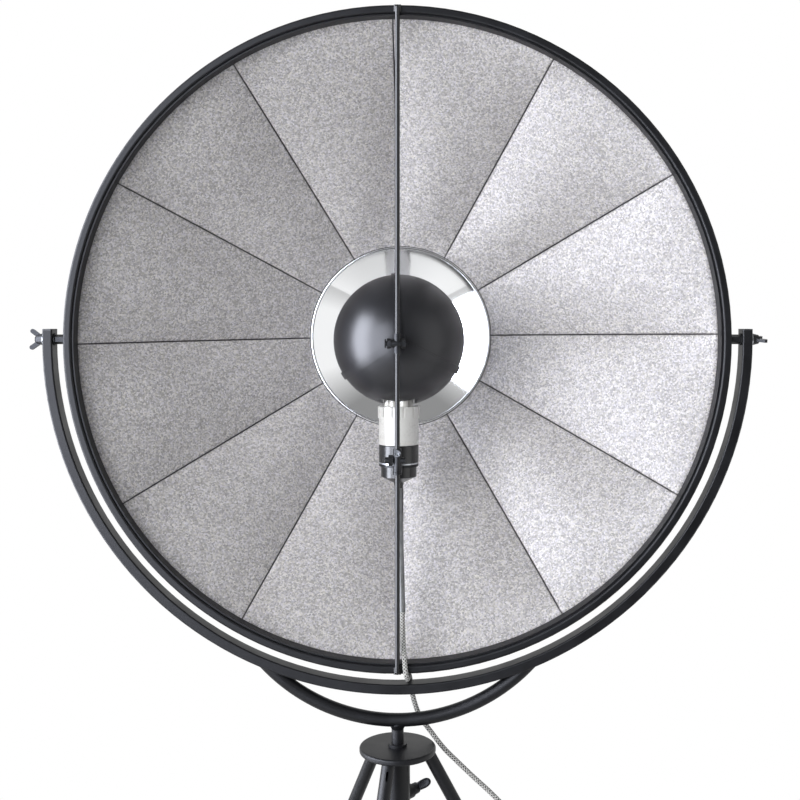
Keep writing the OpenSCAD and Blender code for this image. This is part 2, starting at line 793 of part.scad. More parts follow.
module pivot_studs() {
    color(DARK)
    at_pivot() difference() {
        for (side = [-1, 1]) along_x(side) {
            translate([0, 0, rim_r - 1]) linear_extrude(spacer_end - rim_r + 1) hexagon(spacer_af);
            translate([0, 0, spacer_end - 1]) cylinder(d = stud_d, h = stud_end - spacer_end + 1);
        }
        about_y() cylinder(r = rim_r, h = 3 * rim_dp, center = true, $fn = FINE);
    }
}

module pivot_washers() {
    color(BRIGHT)
    at_pivot() for (side = [-1, 1]) along_x(side) translate([0, 0, washer_x])
        difference() {
            cylinder(d = washer_d, h = washer_t);
            translate([0, 0, -1]) cylinder(d = stud_d + 2 * stud_gap, h = washer_t + 2);
        }
}

module wing_nut(side, turn) {
    wing_w = 4.5;
    flare = 54;
    reach = (wing_nut_w / 2 - wing_w / 2 - 3) / cos(flare);
    color(DARK)
    at_pivot() along_x(side) translate([0, 0, wing_nut_x]) rotate([0, 0, turn]) difference() {
        union() {
            cylinder(d1 = stud_d + 6, d2 = stud_d + 3, h = wing_nut_h);
            for (wing = [-1, 1])
                translate([wing * 3, 0, 3.4]) rotate([90, 0, 0]) scale([wing, 1, 1])
                    rotate([0, 0, flare]) paddle(reach, wing_w, 3);
        }
        translate([0, 0, -1]) cylinder(d = stud_d + 2 * stud_gap, h = wing_nut_h + 8);
    }
}

module wing_nut_left() wing_nut(-1, left_nut_turn);
module wing_nut_right() wing_nut(1, right_nut_turn);

module rod() {
    color(BLACK)
    at_pivot() difference() {
        union() {
            translate([0, rod_y, -rod_half + rod_d / 2]) cylinder(d = rod_d, h = 2 * rod_half - rod_d);
            for (end = [-1, 1]) {
                translate([0, rod_y, end * (rod_half - rod_d / 2)]) sphere(d = rod_d);
                for (x = [-1, 1])
                    translate([x * rod_d * 0.45, -rim_dp / 2 - 0.9, end * (rim_r - rim_w / 2)])
                        cylinder(d = 3, h = weld_l, center = true);
            }
        }
        translate([-10, -rim_dp / 2, -rim_r]) cube([20, 10, 2 * rim_r]);
    }
}

// ---- Shade: canopy ----

module ribs() {
    color(BLACK)
    at_pivot() for (i = [0:panels - 1])
        rotate([0, -seam_turn - i * panel_angle, 0])
            translate([rib_centre.x, rib_centre.y, 0])
                rotate([0, 0, rib_angle_a])
                    rotate_extrude(angle = rib_angle_b - rib_angle_a, $fn = FINE)
                        translate([rib_arc_r, 0]) circle(d = rib_d);
}

module hub_ring() {
    color(BLACK)
    at_pivot() about_y() translate([0, 0, hub_front_y]) ring(hub_r, hub_in_r, hub_t);
}

// One point of the cloth: i steps round, v from the outer edge (0) to the inner edge (1).
// Cloth runs straight from rib to rib, so between ribs it lies nearer the axis, but not at its edges.
function cloth_point(i, v, arc_r, from, to) =
    let (a = from + (to - from) * v)
    let (r = rib_centre.x + arc_r * cos(a), y = rib_centre.y + arc_r * sin(a))
    let (off = ((i % PANEL_STEPS) / PANEL_STEPS - 0.5) * panel_angle)
    let (pull = 4 * v * (1 - v) * (1 - cos(panel_angle / 2) / cos(off)))
    let (turn = seam_turn + i * panel_angle / PANEL_STEPS)
    [r * (1 - pull) * cos(turn), y, r * (1 - pull) * sin(turn)];

module cloth(arc_r, t, from, to) {
    n = panels * PANEL_STEPS;
    m = n * (RIB_STEPS + 1);
    sheet = [for (r = [arc_r - t / 2, arc_r + t / 2], j = [0:RIB_STEPS], i = [0:n - 1])
        cloth_point(i, j / RIB_STEPS, r, from, to)];
    edges = [for (i = [0:n - 1], half = [0, 1]) let (k = (i + 1) % n)
        half == 0 ? [i, k, m + i] : [k, m + k, m + i]];
    last = m - n;
    inner_edges = [for (i = [0:n - 1], half = [0, 1]) let (k = (i + 1) % n)
        half == 0 ? [last + k, last + i, m + last + i] : [last + k, m + last + i, m + last + k]];
    at_pivot()
        polyhedron(
            points = sheet,
            faces = concat(
                wall_faces(RIB_STEPS + 1, n),
                wall_faces(RIB_STEPS + 1, n, m, true),
                edges,
                inner_edges
            )
        );
}

module lining() color(SILVER) cloth(lining_arc_r, lining_t, lining_a, lining_b);

module outer_cover() color(DARK) cloth(cover_arc_r, cover_t, cover_a, cover_b);

// A spherical cap of sheet metal, hollow to the front
module spun_cap(sphere_r, centre, t, edge_y) {
    about_y() translate([0, 0, centre]) rotate_extrude($fn = FINE)
        intersection() {
            difference() {
                circle(sphere_r, $fn = 2 * FINE);
                circle(sphere_r - t, $fn = 2 * FINE);
            }
            translate([0, edge_y - centre]) square([sphere_r, sphere_r]);
        }
}

module hub_hole(y) {
    about_y() translate([0, 0, y]) cylinder(d = hub_bolt_d + 2 * run_gap, h = 2 * back_depth, center = true);
}

module dish() {
    color(BRIGHT)
    at_pivot() difference() {
        union() {
            spun_cap(dish_sphere_r, dish_back_y - dish_sphere_r, dish_t, bead_y);
            about_y() translate([0, 0, bead_y]) rotate_extrude($fn = FINE)
                translate([dish_r, 0]) circle(d = bead_d, $fn = 24);
        }
        hub_hole(dish_back_y);
    }
}

module back_cap() {
    color(BLACK)
    at_pivot() difference() {
        spun_cap(back_sphere_r, back_centre_y, back_t, back_y);
        hub_hole(back_y + back_depth);
    }
}

module hub_bolt() {
    dish_in_y = dish_back_y - dish_t - lay_gap;
    dish_out_y = dish_back_y + lay_gap;
    cap_in_y = back_y + back_depth - back_t - lay_gap;
    cap_out_y = back_y + back_depth + lay_gap;
    color(BRIGHT)
    at_pivot() about_y() {
        translate([0, 0, dish_in_y - 3]) cylinder(d = hub_head_d, h = 3);
        translate([0, 0, dish_in_y - 1]) cylinder(d = hub_bolt_d, h = cap_out_y - dish_in_y + 2);
        translate([0, 0, dish_out_y]) cylinder(d = hub_bolt_d + 4, h = cap_in_y - dish_out_y);
        translate([0, 0, cap_out_y]) cylinder(d = hub_head_d + 2, h = 6);
    }
}

// ---- Shade: dome ----

module at_dome() at_pivot() translate([0, dome_y, -dome_drop]) children();

module dome() {
    color(BLACK)
    at_dome() difference() {
        sphere(r = dome_r, $fn = FINE);
        sphere(r = dome_r - dome_t, $fn = FINE);
        translate([-2 * dome_r, 0, -2 * dome_r]) cube([4 * dome_r, 2 * dome_r, 4 * dome_r]);
        translate([-notch_w / 2, -notch_l, -2 * dome_r]) cube([notch_w, notch_l + 1, 1.6 * dome_r]);
    }
}

// Three strips over the outside of the dome, joined in a disc, each with a tab behind the dome's edge
module dome_spider() {
    color(BLACK)
    at_dome() {
        difference() {
            intersection() {
                sphere(r = spider_r + arm_t, $fn = FINE);
                union() {
                    for (turn = arm_turns) rotate([0, -turn, 0])
                        translate([0, -2 * dome_r, -arm_w / 2]) cube([2 * dome_r, 2 * dome_r, arm_w]);
                    translate([0, -dome_r / 2, 0]) rotate([90, 0, 0]) cylinder(r = spider_disc_r, h = dome_r);
                }
            }
            sphere(r = spider_r, $fn = FINE);
        }
        for (turn = arm_turns) rotate([0, -turn, 0])
            translate([dome_r - 4, lay_gap, -arm_w / 2]) cube([4 + lay_gap + arm_t, arm_t, arm_w]);
        for (turn = arm_turns) rotate([0, -turn, 0])
            translate([spider_r, -1, -arm_w / 2]) cube([arm_t, 1 + lay_gap + EPS, arm_w]);
    }
}

module dome_clamp() {
    pad_w = 8;
    pad_h = 12;
    color(DARK)
    at_pivot() translate([0, rod_y, dome_clamp_z]) difference() {
        union() {
            translate([0, 0, -dome_clamp_h / 2]) cylinder(r = dome_clamp_r, h = dome_clamp_h);
            translate([dome_boss_x[0], 0, 0])
                along_x() cylinder(d = dome_boss_d, h = dome_boss_x[1] - dome_boss_x[0]);
            translate([-pad_w / 2, 0, -pad_h / 2]) cube([pad_w, dome_pad_y - rod_y - lay_gap, pad_h]);
        }
        translate([0, 0, -dome_clamp_h]) cylinder(d = rod_d + 2 * stud_gap, h = 2 * dome_clamp_h);
        along_x() cylinder(d = dome_screw_d + 2 * run_gap, h = 4 * pad_w, center = true);
    }
}

// A set screw with its lock nut from each side; the left one has a head
module dome_clamp_screws() {
    tip = rod_d / 2 + stud_gap;
    color(BRIGHT)
    at_pivot() translate([0, rod_y, dome_clamp_z]) {
        for (side = [0, 1]) {
            reach = abs(dome_screw_x[side]);
            seat = abs(dome_boss_x[side]) + lay_gap;
            along_x(side == 0 ? -1 : 1) {
                translate([0, 0, tip]) cylinder(d = dome_screw_d, h = reach - tip);
                translate([0, 0, seat]) linear_extrude(dome_nut_t) hexagon(dome_nut_af);
            }
        }
        translate([dome_screw_x[0], 0, 0]) along_x() cylinder(d = dome_head_d, h = 1.2, center = true);
    }
}

// ---- Lampholder and its slider ----

module at_rod() at_pivot() translate([0, rod_y, 0]) children();
module at_holder() at_pivot() translate([0, holder_y, 0]) children();

module slider() {
    color(DARK)
    at_rod() difference() {
        union() {
            translate([0, 0, slider_bottom_z]) cylinder(d = slider_d, h = slider_h);
            translate([0, 0, thumb_z]) along_x() cylinder(d = 6, h = 7.8);
        }
        translate([0, 0, slider_bottom_z - 1]) cylinder(d = rod_d + 2 * stud_gap, h = slider_h + 2);
        translate([0, 0, thumb_z]) along_x(-1) cylinder(d = thumb_d + 2 * run_gap, h = slider_d);
        translate([0, 0, set_screw_z]) rotate([90, 0, 0]) cylinder(d = 3 + 2 * run_gap, h = slider_d);
    }
}

module slider_screw() {
    color(BRIGHT)
    at_rod() translate([0, 0, set_screw_z]) rotate([90, 0, 0]) difference() {
        union() {
            translate([0, 0, slider_d / 2 + lay_gap]) cylinder(d = 6.6, h = 3);
            translate([0, 0, rod_d / 2 + stud_gap + 0.3]) cylinder(d = 3, h = slider_d / 2 - rod_d / 2);
        }
        translate([0, 0, slider_d / 2 + 1.6]) linear_extrude(3) hexagon(3.4);
    }
}

module thumb_screw() {
    color(DARK)
    at_rod() translate([0, 0, thumb_z]) along_x(-1) {
        translate([0, 0, rod_d / 2 + 0.3]) cylinder(d = thumb_d, h = 8);
        translate([0, 0, slider_d / 2 + lay_gap]) linear_extrude(4.4) {
            circle(d = knurl_d - 0.8);
            for (i = [0:17]) rotate(i * 20) translate([knurl_d / 2 - 0.6, 0]) circle(d = 1.2, $fn = 16);
        }
        translate([0, 0, slider_d / 2 + 4]) cylinder(d = 6.6, h = 4);
    }
}

module holder_plate() {
    color(DARK)
    at_pivot() translate([0, 0, plate_bottom_z]) difference() {
        linear_extrude(plate_t - lay_gap) {
            translate([0, holder_y]) circle(d = shell_d - 0.4, $fn = FINE);
            translate([-arm_plate_w / 2, rod_y]) square([arm_plate_w, holder_y - rod_y]);
            translate([0, rod_y]) circle(d = arm_plate_w);
        }
        translate([0, rod_y, -1]) cylinder(d = rod_d + 2 * run_gap, h = plate_t + 2);
        translate([0, holder_y, -1]) cylinder(d = liner_d + 2 * run_gap, h = plate_t + 2, $fn = FINE);
    }
}

module holder_ring() {
    color(BRIGHT)
    at_holder() translate([0, 0, ring_bottom_z])
        ring(shell_d / 2 - 0.1, liner_d / 2 + run_gap, ring_t - lay_gap / 2);
}

module holder_shell() {
    color(DARK)
    at_holder() translate([0, 0, shell_bottom_z]) difference() {
        rotate_extrude($fn = FINE) {
            square([shell_d / 2, shell_h - 1]);
            translate([0, shell_h - 1]) square([shell_d / 2 - 1, 1]);
            translate([shell_d / 2 - 1, shell_h - 1]) circle(1, $fn = 24);
        }
        translate([0, 0, -1]) cylinder(d = liner_d + 2 * run_gap, h = shell_h + 2, $fn = FINE);
    }
}

module holder_cap() {
    inside = 2.2;
    color(DARK)
    at_holder() translate([0, 0, cap_bottom_z]) difference() {
        union() {
            translate([0, 0, cap_taper]) cylinder(d = cap_d, h = cap_h - cap_taper - lay_gap, $fn = FINE);
            cylinder(d1 = grip_d + 3, d2 = cap_d, h = cap_taper, $fn = FINE);
        }
        translate([0, 0, cap_taper]) cylinder(d = cap_d - 2 * inside, h = cap_h, $fn = FINE);
        translate([0, 0, -1]) cylinder(d = grip_d - 2, h = cap_h);
    }
}

module holder_liner() {
    color(BRASS)
    at_holder() translate([0, 0, shell_top_z - liner_l - 1])
        ring(liner_d / 2, liner_d / 2 - liner_wall, liner_l);
}

module holder_core() {
    color(WHITE)
    at_holder() translate([0, 0, core_top_z - core_h]) {
        cylinder(d = liner_d, h = core_h - 3, $fn = FINE);
        cylinder(d = 8, h = core_h);
    }
}

module cord_grip() {
    color(DARK)
    at_holder() difference() {
        union() {
            translate([0, 0, grip_bottom_z]) cylinder(d1 = 8.5, d2 = grip_d, h = grip_h - lay_gap);
            translate([0, 0, cap_bottom_z - 1]) cylinder(d = grip_d - 2 - 2 * run_gap, h = cap_taper);
        }
        translate([0, 0, grip_bottom_z - 1]) cylinder(d = cord_bore, h = grip_h + cap_taper + 2);
    }
}

// ---- Bulb ----

module bulb_thread() {
    threads = 4;
    pitch = 3.6;
    color(BRIGHT)
    at_holder() translate([0, 0, bulb_tip_z]) {
        cylinder(d = 9, h = 3);
        translate([0, 0, 2]) cylinder(d1 = 12, d2 = bulb_thread_d - 2, h = 4, $fn = FINE);
        rotate_extrude($fn = FINE) {
            translate([0, 5.5]) square([bulb_thread_d / 2 - 0.8, shell_top_z - bulb_tip_z - 5.5]);
            for (i = [0:threads]) translate([bulb_thread_d / 2 - 1, 7.5 + i * pitch]) circle(1, $fn = 24);
        }
    }
}

module bulb_base() {
    color(WHITE)
    at_holder() translate([0, 0, shell_top_z + lay_gap]) difference() {
        union() {
            cylinder(d = bulb_d, h = bulb_h - lay_gap, $fn = FINE);
            translate([0, 0, bulb_h - lay_gap - EPS])
                cylinder(d = bulb_collar_d, h = bulb_collar_h, $fn = FINE);
        }
        for (i = [0:bulb_slots - 1]) rotate([0, 0, i * 360 / bulb_slots + 15])
            translate([bulb_collar_d / 2 - 1.6, -1.4, bulb_h + 1.6])
                cube([4, 2.8, bulb_collar_h]);
    }
}

module bulb_tubes() {
    bend_z = glass_h - glass_d / 2;
    color(WHITE)
    at_holder() translate([0, 0, bulb_top_z + lay_gap / 2]) for (u = [0:2]) {
        for (leg = [0, 1]) rotate([0, 0, u * 120 + leg * 60]) translate([glass_circle_r, 0, 0]) {
            cylinder(d = glass_d, h = bend_z);
            translate([0, 0, bend_z]) sphere(d = glass_d);
        }
        rotate([0, 0, u * 120 + 30])
            translate([glass_circle_r * cos(30), 0, bend_z - 4]) rotate([90, 0, 0])
                cylinder(d = glass_d - 3, h = glass_circle_r, center = true);
    }
}

// ---- Cord, switch and plug ----

module cord_sleeve() {
    route = [for (i = [0:SLEEVED - 1]) upper_route[i]];
    color("#8d8f92") open_tube(route, sleeve_d, cord_d + 4 * run_gap);
}
module cord_upper() color("#8b8b8b") cord_tube(upper_route, cord_d);
module cord_drop() color("#8b8b8b") cord_tube(after_meet(drop_route), cord_d);
module cord_fall() color("#8b8b8b") cord_tube(after_meet(fall_route), cord_d);
module cord_floor() color("#8b8b8b") cord_tube(after_meet(floor_route), cord_d);
module cord_tail() color("#8b8b8b") cord_tube(tail_route, cord_d);

module at_switch() translate([switch_at.x, switch_at.y, 0]) children();

module switch_base() {
    color(DARK)
    at_switch() {
        translate([0, 0, 0.1]) cylinder(r = switch_r, h = switch_base_h - 0.1, $fn = FINE);
        for (turn = [0, 180]) rotate([0, 0, turn]) translate([0, switch_r - 4, switch_cord_z])
            rotate([-90, 0, 0]) cylinder(r = switch_boss_r, h = switch_boss_reach - switch_r + 4);
    }
}

module switch_cover() {
    color(DARK)
    at_switch() translate([0, 0, switch_base_h + run_gap]) difference() {
        rotate_extrude($fn = FINE) {
            square([switch_r - 4, switch_cover_h]);
            square([switch_r, switch_cover_h - 4]);
            translate([switch_r - 4, switch_cover_h - 4]) circle(4, $fn = 32);
        }
        translate([0, 0, -1]) cylinder(r = switch_r - 4, h = switch_cover_h - switch_wall + 1, $fn = FINE);
        cylinder(r = button_r + lay_gap, h = 2 * switch_cover_h);
        for (turn = [0, 180]) rotate([0, 0, turn])
            translate([0, switch_r - 6, switch_cord_z - switch_base_h - run_gap])
                rotate([-90, 0, 0]) cylinder(r = switch_boss_r + lay_gap, h = 8);
        translate([-2 * switch_r, -2 * switch_r, -2 * switch_r])
            cube([4 * switch_r, 4 * switch_r, 2 * switch_r]);
    }
}

module switch_button() {
    flange_z = switch_base_h + run_gap + switch_cover_h - switch_wall - button_flange - lay_gap;
    color("#3a3b3e")
    at_switch() {
        translate([0, 0, flange_z]) cylinder(r = button_r + 2, h = button_flange);
        translate([0, 0, flange_z])
            cylinder(r = button_r, h = button_flange + lay_gap + switch_wall + button_travel + 1.5);
    }
}

// The coil's centre line at t turns from its outer end
function coil_r(t) =
    t < coil_turns ? coil_out_r - coil_pitch * t
    : t < coil_turns + 0.5 ? coil_in_r
    : coil_in_r + coil_pitch * (t - coil_turns - 0.5);
function coil_z(t) =
    coil_low_z + coil_rise * (1 - cos(180 * min(max((t - coil_turns) / 0.5, 0), 1))) / 2;
function coil_point(t) =
    [coil_at.x + coil_r(t) * cos(360 * t), coil_at.y - coil_r(t) * sin(360 * t), coil_z(t)];
coil_route = concat(
    [[coil_at.x + coil_out_r, coil_at.y + coil_lead, coil_low_z]],
    [for (i = [0:coil_total * LOOP_RINGS]) coil_point(i / LOOP_RINGS)],
    [for (i = [1:3]) [plug_x, coil_at.y + i * plug_lead / 3, plug_z]]
);
function length_of(p) = len(p) < 2 ? 0 : norm(p[1] - p[0]) + length_of([for (i = [1:len(p) - 1]) p[i]]);
function least_gap(p) =
    min([for (i = [0:len(p) - 1], j = [i + 14:1:len(p) - 1]) norm(p[i] - p[j])]) - cord_d;
cord_length = length_of(upper_route) + length_of(drop_route) + length_of(fall_route)
    + length_of(floor_route) + 2 * switch_boss_reach + length_of(tail_route) + length_of(coil_route);

module cord_coil() {
    echo(least_gap_of_coil_mm = least_gap(coil_route));
    color("#8b8b8b") cord_tube(coil_route, cord_d, 6, [0, 0, 1]);
}

module plug_body() {
    body_r = 6;
    color(DARK)
    difference() {
        union() {
            hull() {
                for (x = [-1, 1]) translate([plug_x + x * (plug_w / 2 - body_r), plug_face_y, plug_z])
                    rotate([90, 0, 0]) cylinder(r = body_r, h = plug_l / 2, $fn = COARSE);
                translate([plug_x, plug_back_y, plug_z])
                    rotate([-90, 0, 0]) cylinder(r = plug_t / 2, h = 2, $fn = COARSE);
            }
            translate([plug_x, plug_cord_y, plug_z])
                rotate([-90, 0, 0]) cylinder(d1 = cord_d + 2, d2 = cord_d + 6, h = relief_l + 1);
        }
        for (x = [-1, 1]) translate([plug_x + x * pin_gap / 2, plug_face_y + EPS, plug_z])
            rotate([90, 0, 0]) cylinder(d = pin_root_d + 2 * stud_gap, h = pin_root + lay_gap);
    }
}

module plug_pins() {
    color(BRIGHT)
    for (x = [-1, 1]) translate([plug_x + x * pin_gap / 2, plug_face_y - pin_root, plug_z])
        rotate([-90, 0, 0]) {
            cylinder(d = pin_root_d, h = pin_root);
            translate([0, 0, pin_root - EPS]) cylinder(d = pin_d, h = pin_l - pin_d / 2 + EPS);
            translate([0, 0, pin_root + pin_l - pin_d / 2]) sphere(d = pin_d);
        }
}

echo(cord_length_mm = cord_length, pivot_z = pivot_z);

feet();
leg_right();
leg_left();
leg_front();
tripod_disc();
column_tube();
column_collar();
column_screw();
spreader_hub();
spreader_struts();
spreader_screws();
stem_guide();
stem();
crescent();
fork();
fork_bushes();
fork_end_caps();
rim();
hoop();
pivot_studs();
pivot_washers();
wing_nut_left();
wing_nut_right();
ribs();
hub_ring();
lining();
outer_cover();
dish();
back_cap();
hub_bolt();
rod();
dome();
dome_spider();
dome_clamp();
dome_clamp_screws();
slider();
slider_screw();
thumb_screw();
holder_plate();
holder_ring();
holder_shell();
holder_cap();
holder_liner();
holder_core();
cord_grip();
bulb_thread();
bulb_base();
bulb_tubes();
cord_sleeve();
cord_upper();
cord_drop();
cord_fall();
cord_floor();
switch_base();
switch_cover();
switch_button();
cord_tail();
cord_coil();
plug_body();
plug_pins();
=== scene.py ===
# %% [markdown]
# # A tripod spotlight floor lamp
# A round reflector of silver cloth hangs in a fork on a tripod. A black dome hides the bulb and
# throws its light back into a chrome dish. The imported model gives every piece's size and place.
# This file gives the pieces their finish, and makes what bends: the cloth and the cord. It also
# makes the few hard pieces that need a finer form: bulb tubes, dish, wing screw and plug.

# %% The frame
import math

import bmesh
import bpy
import numpy as np
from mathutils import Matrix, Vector


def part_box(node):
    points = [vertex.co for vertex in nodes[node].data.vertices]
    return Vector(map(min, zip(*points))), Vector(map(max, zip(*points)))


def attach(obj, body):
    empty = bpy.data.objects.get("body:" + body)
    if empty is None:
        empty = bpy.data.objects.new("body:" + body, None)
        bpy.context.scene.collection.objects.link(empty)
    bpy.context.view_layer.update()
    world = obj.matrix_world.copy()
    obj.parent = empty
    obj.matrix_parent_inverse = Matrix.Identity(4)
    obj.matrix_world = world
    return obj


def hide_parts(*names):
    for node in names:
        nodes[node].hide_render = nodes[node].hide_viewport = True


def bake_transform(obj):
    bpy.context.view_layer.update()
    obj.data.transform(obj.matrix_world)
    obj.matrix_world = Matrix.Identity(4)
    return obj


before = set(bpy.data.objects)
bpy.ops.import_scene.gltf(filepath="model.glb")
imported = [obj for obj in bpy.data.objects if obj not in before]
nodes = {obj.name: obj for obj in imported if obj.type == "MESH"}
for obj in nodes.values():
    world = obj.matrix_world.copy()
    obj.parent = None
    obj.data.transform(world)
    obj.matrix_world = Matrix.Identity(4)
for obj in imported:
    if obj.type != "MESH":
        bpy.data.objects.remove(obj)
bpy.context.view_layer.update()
MM = 0.001

rim_low, rim_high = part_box("rim")
pivot = (rim_low + rim_high) / 2
print(f"pivots at {pivot.z:.3f} m, rim {rim_high.x - rim_low.x:.3f} m across")

# %% [markdown]
# The camera stands in front of the lamp, a little above its pivots and a little to their right.
# It looks straight ahead, as a product camera does, so upright pieces stay upright. The lamp is
# then brought into the frame with the lens shift and not by tilting.

# %% Camera
FRAME_PX = 800
FOCAL_PX = 1100
CENTRE_PX = (422.4, 317.5)
SENSOR_MM = 36

camera_data = bpy.data.cameras.new("camera")
camera_data.sensor_width = SENSOR_MM
camera_data.lens = SENSOR_MM * FOCAL_PX / FRAME_PX
camera_data.shift_x = 0.5 - CENTRE_PX[0] / FRAME_PX
camera_data.shift_y = CENTRE_PX[1] / FRAME_PX - 0.5
camera = bpy.data.objects.new("camera", camera_data)
bpy.context.scene.collection.objects.link(camera)
camera.location = (0.025, rim_low.y - 1.1, pivot.z + 0.022)
camera.rotation_euler = (math.radians(90), 0, 0)
bpy.context.scene.camera = camera

# %% [markdown]
# A colour is written as the hex value that a screen shows, and one function turns it to the
# linear light that a renderer adds up. A second small function puts a node into a material:
# values that are sockets become links, and the rest become settings.


# %% Colours and nodes
def linear(hex_colour):
    parts = [int(hex_colour[i : i + 2], 16) / 255 for i in (1, 3, 5)]
    return [p / 12.92 if p <= 0.04045 else ((p + 0.055) / 1.055) ** 2.4 for p in parts] + [1]


def put(tree, kind, inputs=None, **settings):
    made = tree.nodes.new(kind)
    for key, value in settings.items():
        setattr(made, key, value)
    for key, value in (inputs or {}).items():
        if isinstance(value, bpy.types.NodeSocket):
            tree.links.new(value, made.inputs[key])
        else:
            made.inputs[key].default_value = value
    return made


def material_of(name, colour, roughness, **sockets):
    made = bpy.data.materials.new(name)
    made.use_nodes = True
    shader = made.node_tree.nodes["Principled BSDF"]
    shader.inputs["Base Color"].default_value = linear(colour)
    shader.inputs["Roughness"].default_value = roughness
    for key, value in sockets.items():
        shader.inputs[key.replace("_", " ")].default_value = value
    return made, made.node_tree, shader


def feed(tree, shader, **outputs):
    for key, output in outputs.items():
        tree.links.new(output, shader.inputs[key.replace("_", " ")])


# %% [markdown]
# No real surface is even. Paint has a fine grain like orange peel, plating has cloudy patches,
# and both are a little duller in some places than in others. One function gives a material all
# three: a grain that stands out by a few hundredths of a millimetre, and slow changes of tone
# and of gloss. Stretching the grain along one axis turns it into brushing.


# %% Grain, tone and gloss
def grained(made, grain, depth, tones, gloss, patch=30, stretch=(1, 1, 1)):
    """Grain, depth and patch are in mm; tones are two hex colours; gloss two roughnesses."""
    material, tree, shader = made
    place = put(tree, "ShaderNodeTexCoord").outputs["Object"]
    pulled = put(tree, "ShaderNodeMapping", {"Vector": place, "Scale": stretch}).outputs[0]
    fine = put(tree, "ShaderNodeTexNoise",
               {"Vector": pulled, "Scale": 1 / (grain * MM), "Detail": 2}).outputs[0]
    slow = put(tree, "ShaderNodeTexNoise",
               {"Vector": place, "Scale": 1 / (patch * MM), "Detail": 4}).outputs[0]
    mixed = put(tree, "ShaderNodeMath", {0: fine, 1: 0.35, 2: slow}, operation="MULTIPLY_ADD")
    share = put(tree, "ShaderNodeMapRange",
                {"Value": mixed.outputs[0], "From Min": 0.45, "From Max": 0.9}).outputs[0]
    tone = put(tree, "ShaderNodeMix", {0: share, 6: linear(tones[0]), 7: linear(tones[1])},
               data_type="RGBA").outputs[2]
    dull = put(tree, "ShaderNodeMapRange",
               {"Value": share, "To Min": gloss[0], "To Max": gloss[1]}).outputs[0]
    bump = put(tree, "ShaderNodeBump", {"Height": fine, "Distance": depth * MM}).outputs[0]
    feed(tree, shader, Base_Color=tone, Roughness=dull, Normal=bump)
    return material


# %% [markdown]
# Most pieces that are made here are skins: rows of points, one after another, with faces between
# them. A tube is such a skin, and so are a turned piece and a sewn cloth. One function makes the
# mesh, gives it a UV map that runs in metres along the rows, and ties it to the body that it
# moves with. Edges sharper than 40 degrees stay crisp, and the rest is shaded smoothly.


# %% Skins
def skin(name, grid, material, body=None, replaces=(), along=None, caps=False,
         ring=False, values=None):
    """Grid is rows x columns x 3, in metres. Columns close up; rows do too if ring is set."""
    rows, columns = grid.shape[:2]
    along = np.zeros(rows) if along is None else along
    faces, corners = [], []
    for i in range(rows if ring else rows - 1):
        j = (i + 1) % rows
        for k in range(columns):
            m = (k + 1) % columns
            faces.append((i * columns + k, i * columns + m, j * columns + m, j * columns + k))
            near, far = k / columns, (k + 1) / columns
            corners += [(along[i], near), (along[i], far), (along[j], far), (along[j], near)]
    if caps:
        faces += [tuple(reversed(range(columns))),
                  tuple((rows - 1) * columns + k for k in range(columns))]
        corners += [(0, 0)] * (2 * columns)
    mesh = bpy.data.meshes.new(name)
    mesh.from_pydata(grid.reshape(-1, 3).tolist(), [], faces)
    layer = mesh.uv_layers.new(name="woven")
    layer.data.foreach_set("uv", np.array(corners, float).ravel())
    for key, numbers in (values or {}).items():
        spread = mesh.attributes.new(key, "FLOAT", "POINT")
        spread.data.foreach_set("value", np.asarray(numbers, float).ravel())
    shape = bmesh.new()
    shape.from_mesh(mesh)
    bmesh.ops.remove_doubles(shape, verts=shape.verts, dist=1e-7)
    bmesh.ops.recalc_face_normals(shape, faces=shape.faces)
    shape.to_mesh(mesh)
    shape.free()
    mesh.polygons.foreach_set("use_smooth", [True] * len(mesh.polygons))
    mesh.set_sharp_from_angle(angle=math.radians(40))
    mesh.materials.append(material)
    made = bpy.data.objects.new(name, mesh)
    bpy.context.scene.collection.objects.link(made)
    if body:
        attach(made, body)
    if replaces:
        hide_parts(*replaces)
    return made


# %% [markdown]
# ## The cord
# The flex is two cores in a woven sleeve of black and white yarn, 5 mm thick and limp. It leaves
# the lampholder, runs down behind the rod in a grey heat sleeve, slips between the rim and the
# fork, and falls to a foot switch. The rest is put away in a coil with the plug beside it. It
# comes first, with the camera, because its room on the floor is part of the model. The points
# are given in millimetres, and each stretch ends where the next one starts.

# %% The cord's route
CORD_D = 5
UPPER = [
    (0, 55, 1202), (0, 55, 1193), (0.3, 53.5, 1182), (0.8, 50, 1172), (1.3, 45.5, 1162),
    (2.2, 36, 1142), (3, 27, 1122), (3.8, 17.5, 1102), (4.6, 8, 1082), (5.4, -1, 1062),
    (6.5, -8.5, 1046), (7, -12, 1041), (7.5, -13.5, 1036),
]
DROP = [
    (8, -15, 1031), (8.8, -14.6, 1026), (9.5, -12, 1022.4), (10, -8.5, 1020),
    (10.4, -4.5, 1019.3), (10.8, 0, 1019.3), (11.2, 4.5, 1019.3), (11.6, 8.5, 1018.5),
    (12, 12, 1016), (12.5, 14.6, 1012.3), (13, 15.3, 1007.5), (14.2, 15.5, 1000),
    (16.5, 15.5, 990), (20.5, 15.5, 978.5), (26.5, 15.5, 968), (34, 15.5, 958),
]
SWING = [
    (40, 15.5, 950), (48, 15, 940.5), (60, 14, 929), (75, 13, 915), (95, 12, 897),
    (113, 10, 879), (129, 8, 860), (142, 6, 839),
]
FALL = [
    (152, 4, 815), (159, 2, 788), (164, 0, 755), (167, -2, 715), (169, -4, 665),
    (170, -6, 610), (171, -8, 550), (171, -9, 490), (172, -10, 430), (172, -11, 370),
    (172, -12, 310), (172, -14, 250), (172, -15, 190), (172, -17, 130), (172, -19, 90),
    (172, -20, 62),
]
